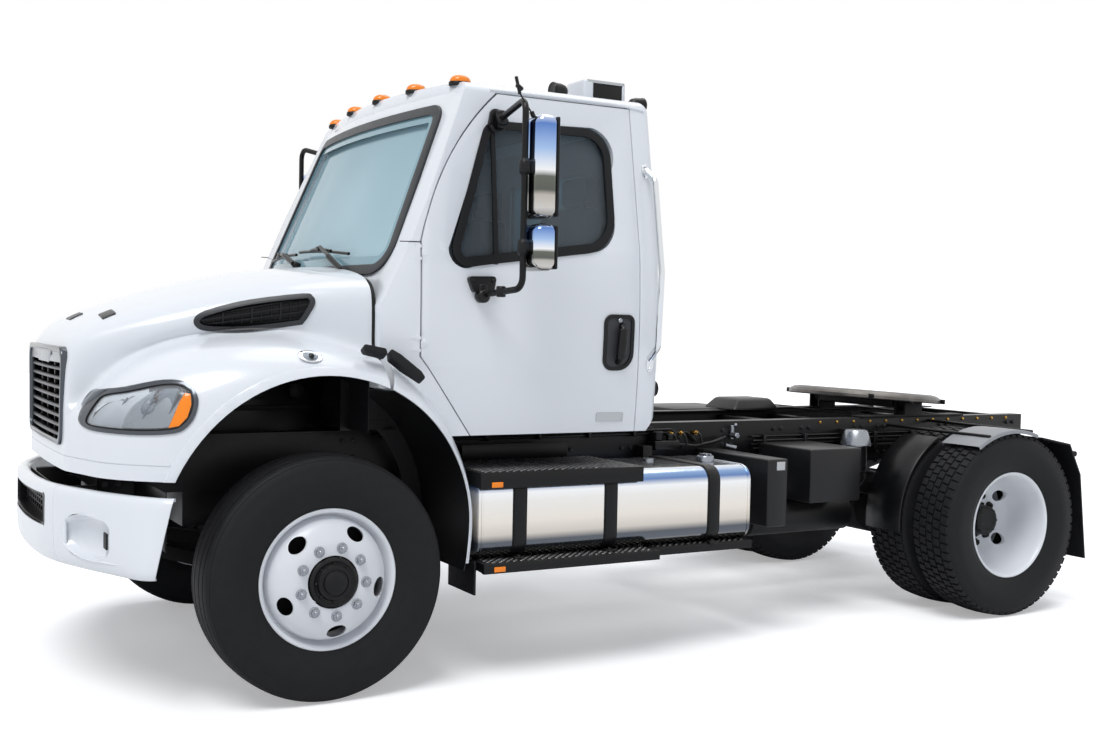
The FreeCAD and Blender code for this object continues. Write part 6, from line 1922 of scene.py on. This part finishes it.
class TRACTOR_OT_coupling(bpy.types.Operator):
    """Tilting coupling plate with throat, jaw, skirt and ribs, and its pivots"""
    bl_idname = "tractor.coupling"
    bl_label = "Coupling plate"

    def execute(self, context):
        # height of the plate's face over its pin, its thickness and its radius
        top, thick, r = 0.076, 0.024, 0.475
        tilt = Matrix.Translation(COUPLING) @ Matrix.Rotation(math.radians(-4), 4, "Y")
        disc = lathe([(0, top), (r - 0.062, top), (r - 0.034, top - 0.005), (r - 0.012, top - 0.016),
                      (r, top - 0.030), (r, top - 0.046), (r - 0.006, top - 0.052),
                      (r - 0.018, top - 0.052), (r - 0.022, top - thick), (0, top - thick)],
                     axis="Z", steps=96)
        throat = prism(rounded_outline([(-0.60, -0.27, 0), (-0.30, -0.075, 0), (0.02, -0.027, 0),
                                        (0.02, 0.027, 0), (-0.30, 0.075, 0), (-0.60, 0.27, 0)], 0.022, 5),
                       (0, 0, 0.2))
        throat = placed(throat, Matrix.Translation((0, 0, -0.02)))
        combine(disc, throat)
        ribs = []
        for side in (-1, 1):
            for x in (-0.30, -0.08, 0.14, 0.30):
                ribs.append(block((x - 0.006, x + 0.006), (side * 0.09, side * 0.40),
                                  (top - 0.051, top - thick + 0.002), 2))
            ear = prism([(-0.075, side * 0.36, top - thick), (0.075, side * 0.36, top - thick),
                         (0.045, side * 0.36, -0.020), (0.0, side * 0.36, -0.034),
                         (-0.045, side * 0.36, -0.020)], (0, side * 0.045, 0), 4)
            ribs.append(ear)
        ribs.append(block((-0.085, 0.085), (-0.33, 0.33), (-0.020, top - thick), 14, 3))
        jaw = lathe([(.0275, top - .004), (.052, top - .004), (.055, top - .010), (.055, -.010),
                     (.0275, -.010)], axis="Z", steps=48)
        combine(jaw, prism([(-0.2, -0.026, -0.02), (0.0, -0.026, -0.02), (0.0, 0.026, -0.02),
                            (-0.2, 0.026, -0.02)], (0, 0, 0.2)))
        handle = tube([(0.05, 0.10, 0.030), (0.07, 0.44, 0.026), (0.07, 0.50, 0.020)], 0.009, 0.02, 4)
        finish(placed(soften(joined([disc, jaw]), 3, 3, 35), tilt), "coupling_top", "greased_steel",
               "fifth_wheel", ("fifth_wheel_plate",), 35)
        finish(placed(joined(ribs + [handle]), tilt), "coupling_ribs", "cast_iron", "fifth_wheel",
               angle=40)
        softened_node("fifth_wheel_base", "cast_iron", mm=5)
        return {"FINISHED"}


class TRACTOR_OT_cab_shell(bpy.types.Operator):
    """Cab cowl, doors, roof and rear with rolled edges, wheel wells cut and lined"""
    bl_idname = "tractor.cab_shell"
    bl_label = "Cab shell"

    def execute(self, context):
        cx, cz = ARCH_CENTRE
        well = [(cx, 0.0)]
        for k in range(13):
            a = math.radians(20 + 90 * k / 12)
            well.append((cx - WELL_RADIUS * math.sin(a), cz + WELL_RADIUS * math.cos(a)))
        hinges = side_layer((1.44, 1.60), (1.20, 2.12), 30, 29.2)
        cowl = from_node("cab_cowl")
        combine(cowl, both_sides(copied(hinges)))
        wells = both_sides(prism([(x, 0.640, z) for x, z in well], (0, 0.70, 0)))
        combine(cowl, wells, keep=True)
        floor = combine(from_node("cab_floor"), wells)
        finish(floor, "cab_floor_form", "black_enamel", "chassis", ("cab_floor",), 45)
        finish(soften(cowl, 4, 3, 35), "cab_cowl_form", "white_enamel", "chassis",
               ("cab_cowl",), 45)
        for side, flip in (("left", Matrix.Identity(4)), ("right", FLIP)):
            door = combine(from_node(side + "_door"), copied(hinges, flip))
            finish(soften(door, 4, 3, 35), side + "_door_form", "white_enamel", side + "_door",
                   (side + "_door",), 45)
        bpy.data.objects.remove(hinges)
        arc = [(x, z) for x, z in well[1:] if z > CAB_BASE]
        low = [(arc[-1][0] - 0.03, CAB_BASE), (arc[0][0], CAB_BASE)]
        wall = prism([(x, 0.632, z) for x, z in arc + low], (0, 0.006, 0))
        finish_pair(wall, "well_wall", "black_plastic", "chassis")
        softened_node("cab_roof", "white_enamel", mm=9)
        softened_node("cab_rear", "white_enamel", mm=5)
        self.door_linings()
        return {"FINISHED"}

    def door_linings(self):
        """Moulded panel inside each door: pocket, armrest, pull and winder."""
        wall = 0.0565
        panel = on_side(rounded_outline([(1.400, 1.180), (0.470, 1.180), (0.470, 1.790), (1.400, 1.790)],
                                        0.06, 5), -1000 * wall, 9, 3)
        y = side_y(0.9, 1.45) - wall - 0.004
        parts = [panel, block((0.60, 1.08), (y - 0.050, y), (1.500, 1.560), 16, 4),
                 block((0.70, 1.30), (y - 0.028, y), (1.215, 1.330), 12, 4),
                 tube([(1.14, y, 1.66), (1.14, y - 0.035, 1.66), (1.30, y - 0.035, 1.70), (1.30, y, 1.70)],
                      0.011, 0.02, 4)]
        knob = [rod((0.80, y, 1.66), (0.80, y - 0.022, 1.66), 0.020, 3),
                tube([(0.80, y - 0.022, 1.66), (0.92, y - 0.026, 1.70)], 0.009),
                rod((0.92, y - 0.020, 1.70), (0.92, y - 0.052, 1.70), 0.014, 5)]
        finish_pair(joined(parts), "door_lining", "grained_plastic", DOORS, angle=50)
        finish_pair(joined(knob), "window_winder", "black_plastic", DOORS, angle=50)


class TRACTOR_OT_interior(bpy.types.Operator):
    """Sewn seat pads with their fittings, the cab's lining, and the dash with its hood and instruments"""
    bl_idname = "tractor.interior"
    bl_label = "Interior"

    def execute(self, context):
        first = True
        for side, y in (("left", 0.52), ("right", -0.52)):
            pads = [("seat_cushion", (0.525, 0.995), (y - 0.245, y + 0.245), (1.487, 1.592), 2),
                    ("seat_back", (0.405, 0.540), (y - 0.235, y + 0.235), (1.605, 2.185), 0),
                    ("head_rest", (0.385, 0.462), (y - 0.125, y + 0.125), (2.198, 2.342), 0)]
            for name, x, across, z, face in pads:
                pad = self.pad(x, across, z, face)
                finish(pad, f"{side}_{name}", "seat_fabric", "chassis",
                       ("seats",) if first else (), 80)
                first = False
            posts = [rod((0.425, y + dy, 2.150), (0.425, y + dy, 2.230), 0.007, 1, 16)
                     for dy in (-0.06, 0.06)]
            hinge = [rod((0.50, y + dy, 1.56), (0.50, y + dy * 1.10, 1.56), 0.035, 4, 24)
                     for dy in (-0.235, 0.235)]
            finish(joined(posts + hinge), side + "_seat_fittings", "black_plastic", "chassis",
                   angle=40)
        rear = combine(block((0.3275, 0.336), (-0.90, 0.90), (1.50, 2.56), 3),
                       prism(rounded_outline([(0.2, -0.43, 1.98), (0.2, -0.43, 2.38), (0.2, 0.43, 2.38),
                                              (0.2, 0.43, 1.98)], 0.05, 5), (0.3, 0, 0)))
        lining = block((0.35, 1.22), (-0.76, 0.76), (2.618, 2.628), 4)
        finish(joined([rear, lining]), "cab_lining", "headliner", "chassis", angle=40)
        softened_node("dashboard", "grained_plastic", mm=18)
        parts = [soften(prism([(1.30, 0.25, 1.80), (1.30, 0.77, 1.80), (1.50, 0.74, 1.81),
                               (1.50, 0.28, 1.81)], (0, 0, 0.030)), 14, 4)]
        for y in (0.42, 0.51, 0.60):
            dial = lathe([(.038, 0), (.038, .006), (.034, .008), (.033, .003), (0, .003)], axis="X",
                         steps=32)
            turn = Matrix.Translation((1.258, y, 1.70)) @ Matrix.Rotation(math.pi, 4, "Z")
            parts.append(placed(dial, turn))
        for y in (-0.72, 0.82):
            parts.append(block((1.252, 1.262), (y - 0.05, y + 0.05), (1.70, 1.76), 3))
        parts.append(block((1.252, 1.264), (-0.10, 0.16), (1.56, 1.78), 4))
        finish(joined(parts), "dash_fittings", "grained_plastic", "chassis", angle=40)
        return {"FINISHED"}

    def pad(self, x, y, z, face):
        """Crowned foam pad with pulled-in sides and two sewn channels across its main face."""
        bpy.ops.mesh.primitive_cube_add(size=1)
        piece = bpy.context.object
        with editing(piece):
            bpy.ops.mesh.subdivide(number_cuts=13)
        low, high = Vector((x[0], y[0], z[0])), Vector((x[1], y[1], z[1]))
        size = high - low
        along = 2 if face == 0 else 0
        for vertex in piece.data.vertices:
            share = vertex.co * 2
            # a superellipsoid between a box and an egg: full in the middle, drawn in at corners
            for axis in range(3):
                others = [share[k] for k in range(3) if k != axis]
                vertex.co[axis] *= 1 - 0.045 * (others[0] ** 4 + others[1] ** 4) \
                    - 0.05 * (others[0] ** 2 + others[1] ** 2 > 1.85)
            flat = face if face == 2 else 0
            if share[flat] > 0.99 or (face == 0 and share[0] < -0.99):
                seam = min(abs(share[1] - 0.55), abs(share[1] + 0.55)) / 0.08
                cross = min(abs(share[along] - 0.35), abs(share[along] + 0.3)) / 0.06
                vertex.co[flat] *= 1 - 0.07 * math.exp(-seam * seam) - 0.05 * math.exp(-cross * cross)
        for vertex in piece.data.vertices:
            vertex.co = Vector([low[k] + (vertex.co[k] + 0.5) * size[k] for k in range(3)])
        modify(piece, "SUBSURF", levels=2, render_levels=2)
        return piece


# ---- studio -----------------------------------------------------------------------------------
CAMERA_PLACE = (3.793, 6.199, 1.603)
CAMERA_HEADING = 150.57     # degrees round +Z from looking along +Y
CAMERA_PITCH = -2.24
CAMERA_ROLL = 1.16
CAMERA_LENS = 42.33


def floor_material():
    """Painted studio floor: dull white, brightened to the camera so only shadows tell on it."""
    material = finish_material("painted_floor", linear("#f2f2f2"), 0.9, grain_mm=2000.0)
    tree = material.node_tree
    shader = tree.nodes["Principled BSDF"]
    output = tree.nodes["Material Output"]
    seen = add(tree, "ShaderNodeLightPath").outputs["Is Camera Ray"]
    level = add(tree, "ShaderNodeMath", {"operation": "MULTIPLY"}, i0=seen, i1=0.35)
    glow = add(tree, "ShaderNodeEmission", Color=(1, 1, 1, 1), Strength=level.outputs[0])
    both = add(tree, "ShaderNodeAddShader", i0=shader.outputs[0], i1=glow.outputs[0])
    tree.links.new(both.outputs[0], output.inputs["Surface"])
    return material


class TRACTOR_OT_studio(bpy.types.Operator):
    """Camera, pale floor, white surroundings and two soft lamps"""
    bl_idname = "tractor.studio"
    bl_label = "Studio"

    def execute(self, context):
        turn = (Matrix.Rotation(math.radians(CAMERA_HEADING), 4, "Z")
                @ Matrix.Rotation(math.radians(90 + CAMERA_PITCH), 4, "X")
                @ Matrix.Rotation(math.radians(CAMERA_ROLL), 4, "Z"))
        bpy.ops.object.camera_add(location=CAMERA_PLACE, rotation=turn.to_euler())
        camera = bpy.context.object
        camera.data.lens = CAMERA_LENS
        camera.data.sensor_width = 36
        camera.data.sensor_fit = "HORIZONTAL"
        context.scene.camera = camera

        bpy.ops.mesh.primitive_plane_add(size=60, location=(0, 0, 0))
        floor = bpy.context.object
        floor.name = "studio_floor"
        floor.data.materials.append(floor_material())
        world = context.scene.world or bpy.data.worlds.new("studio")
        context.scene.world = world
        world.use_nodes = True
        tree = world.node_tree
        tree.nodes.clear()
        path = add(tree, "ShaderNodeLightPath")
        seen = add(tree, "ShaderNodeMath", {"operation": "MAXIMUM"},
                   i0=path.outputs["Is Camera Ray"], i1=path.outputs["Is Glossy Ray"])
        seen = add(tree, "ShaderNodeMath", {"operation": "MAXIMUM"}, i0=seen.outputs[0],
                   i1=path.outputs["Is Transmission Ray"])
        light = add(tree, "ShaderNodeBackground", Color=linear("#dfe7f3"), Strength=0.5)
        white = add(tree, "ShaderNodeBackground", Color=(1, 1, 1, 1), Strength=1.0)
        mix = add(tree, "ShaderNodeMixShader", i0=seen.outputs[0], i1=light.outputs[0],
                  i2=white.outputs[0])
        output = add(tree, "ShaderNodeOutputWorld")
        tree.links.new(mix.outputs[0], output.inputs[0])
        # direction the light travels, strength, softness in degrees
        for way, strength, soft in [((-0.45, -0.35, -1.0), 1.9, 30), ((0.35, 0.25, -1.0), 0.6, 40)]:
            bpy.ops.object.light_add(type="SUN", location=(0, 0, 8))
            lamp = bpy.context.object
            lamp.rotation_euler = Vector(way).to_track_quat("-Z", "Y").to_euler()
            lamp.data.energy = strength
            lamp.data.angle = math.radians(soft)
        context.scene.view_settings.view_transform = "Standard"
        return {"FINISHED"}


# ---- add-on -----------------------------------------------------------------------------------
STEPS = [TRACTOR_OT_studio, TRACTOR_OT_hood, TRACTOR_OT_headlights, TRACTOR_OT_grille,
         TRACTOR_OT_bumper, TRACTOR_OT_front_wheels, TRACTOR_OT_rear_wheels,
         TRACTOR_OT_glazing, TRACTOR_OT_door_trim, TRACTOR_OT_cab_trim, TRACTOR_OT_tank,
         TRACTOR_OT_steps, TRACTOR_OT_frame_fittings, TRACTOR_OT_rear_guards, TRACTOR_OT_coupling,
         TRACTOR_OT_cab_shell, TRACTOR_OT_interior]


class TRACTOR_PT_panel(bpy.types.Panel):
    """Colours, sizes and building steps of the tractor"""
    bl_label = "Road tractor"
    bl_idname = "TRACTOR_PT_panel"
    bl_space_type = "VIEW_3D"
    bl_region_type = "UI"
    bl_category = "Tractor"

    def draw(self, context):
        for group in (context.scene.tractor_colours, context.scene.tractor_sizes):
            for name in group.__annotations__:
                self.layout.prop(group, name)
        for step in STEPS:
            self.layout.operator(step.bl_idname)


CLASSES = [TractorColours, TractorSizes] + STEPS + [TRACTOR_PT_panel]


def register():
    for item in CLASSES:
        bpy.utils.register_class(item)
    bpy.types.Scene.tractor_colours = bpy.props.PointerProperty(type=TractorColours)
    bpy.types.Scene.tractor_sizes = bpy.props.PointerProperty(type=TractorSizes)


def unregister():
    del bpy.types.Scene.tractor_sizes
    del bpy.types.Scene.tractor_colours
    for item in reversed(CLASSES):
        bpy.utils.unregister_class(item)


def main():
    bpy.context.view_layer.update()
    bpy.ops.object.select_all(action="DESELECT")
    register()
    make_materials(bpy.context.scene.tractor_colours)
    paint_frame()
    for step in STEPS:
        group, name = step.bl_idname.split(".")
        getattr(getattr(bpy.ops, group), name)()


if __name__ == "__main__":
    main()
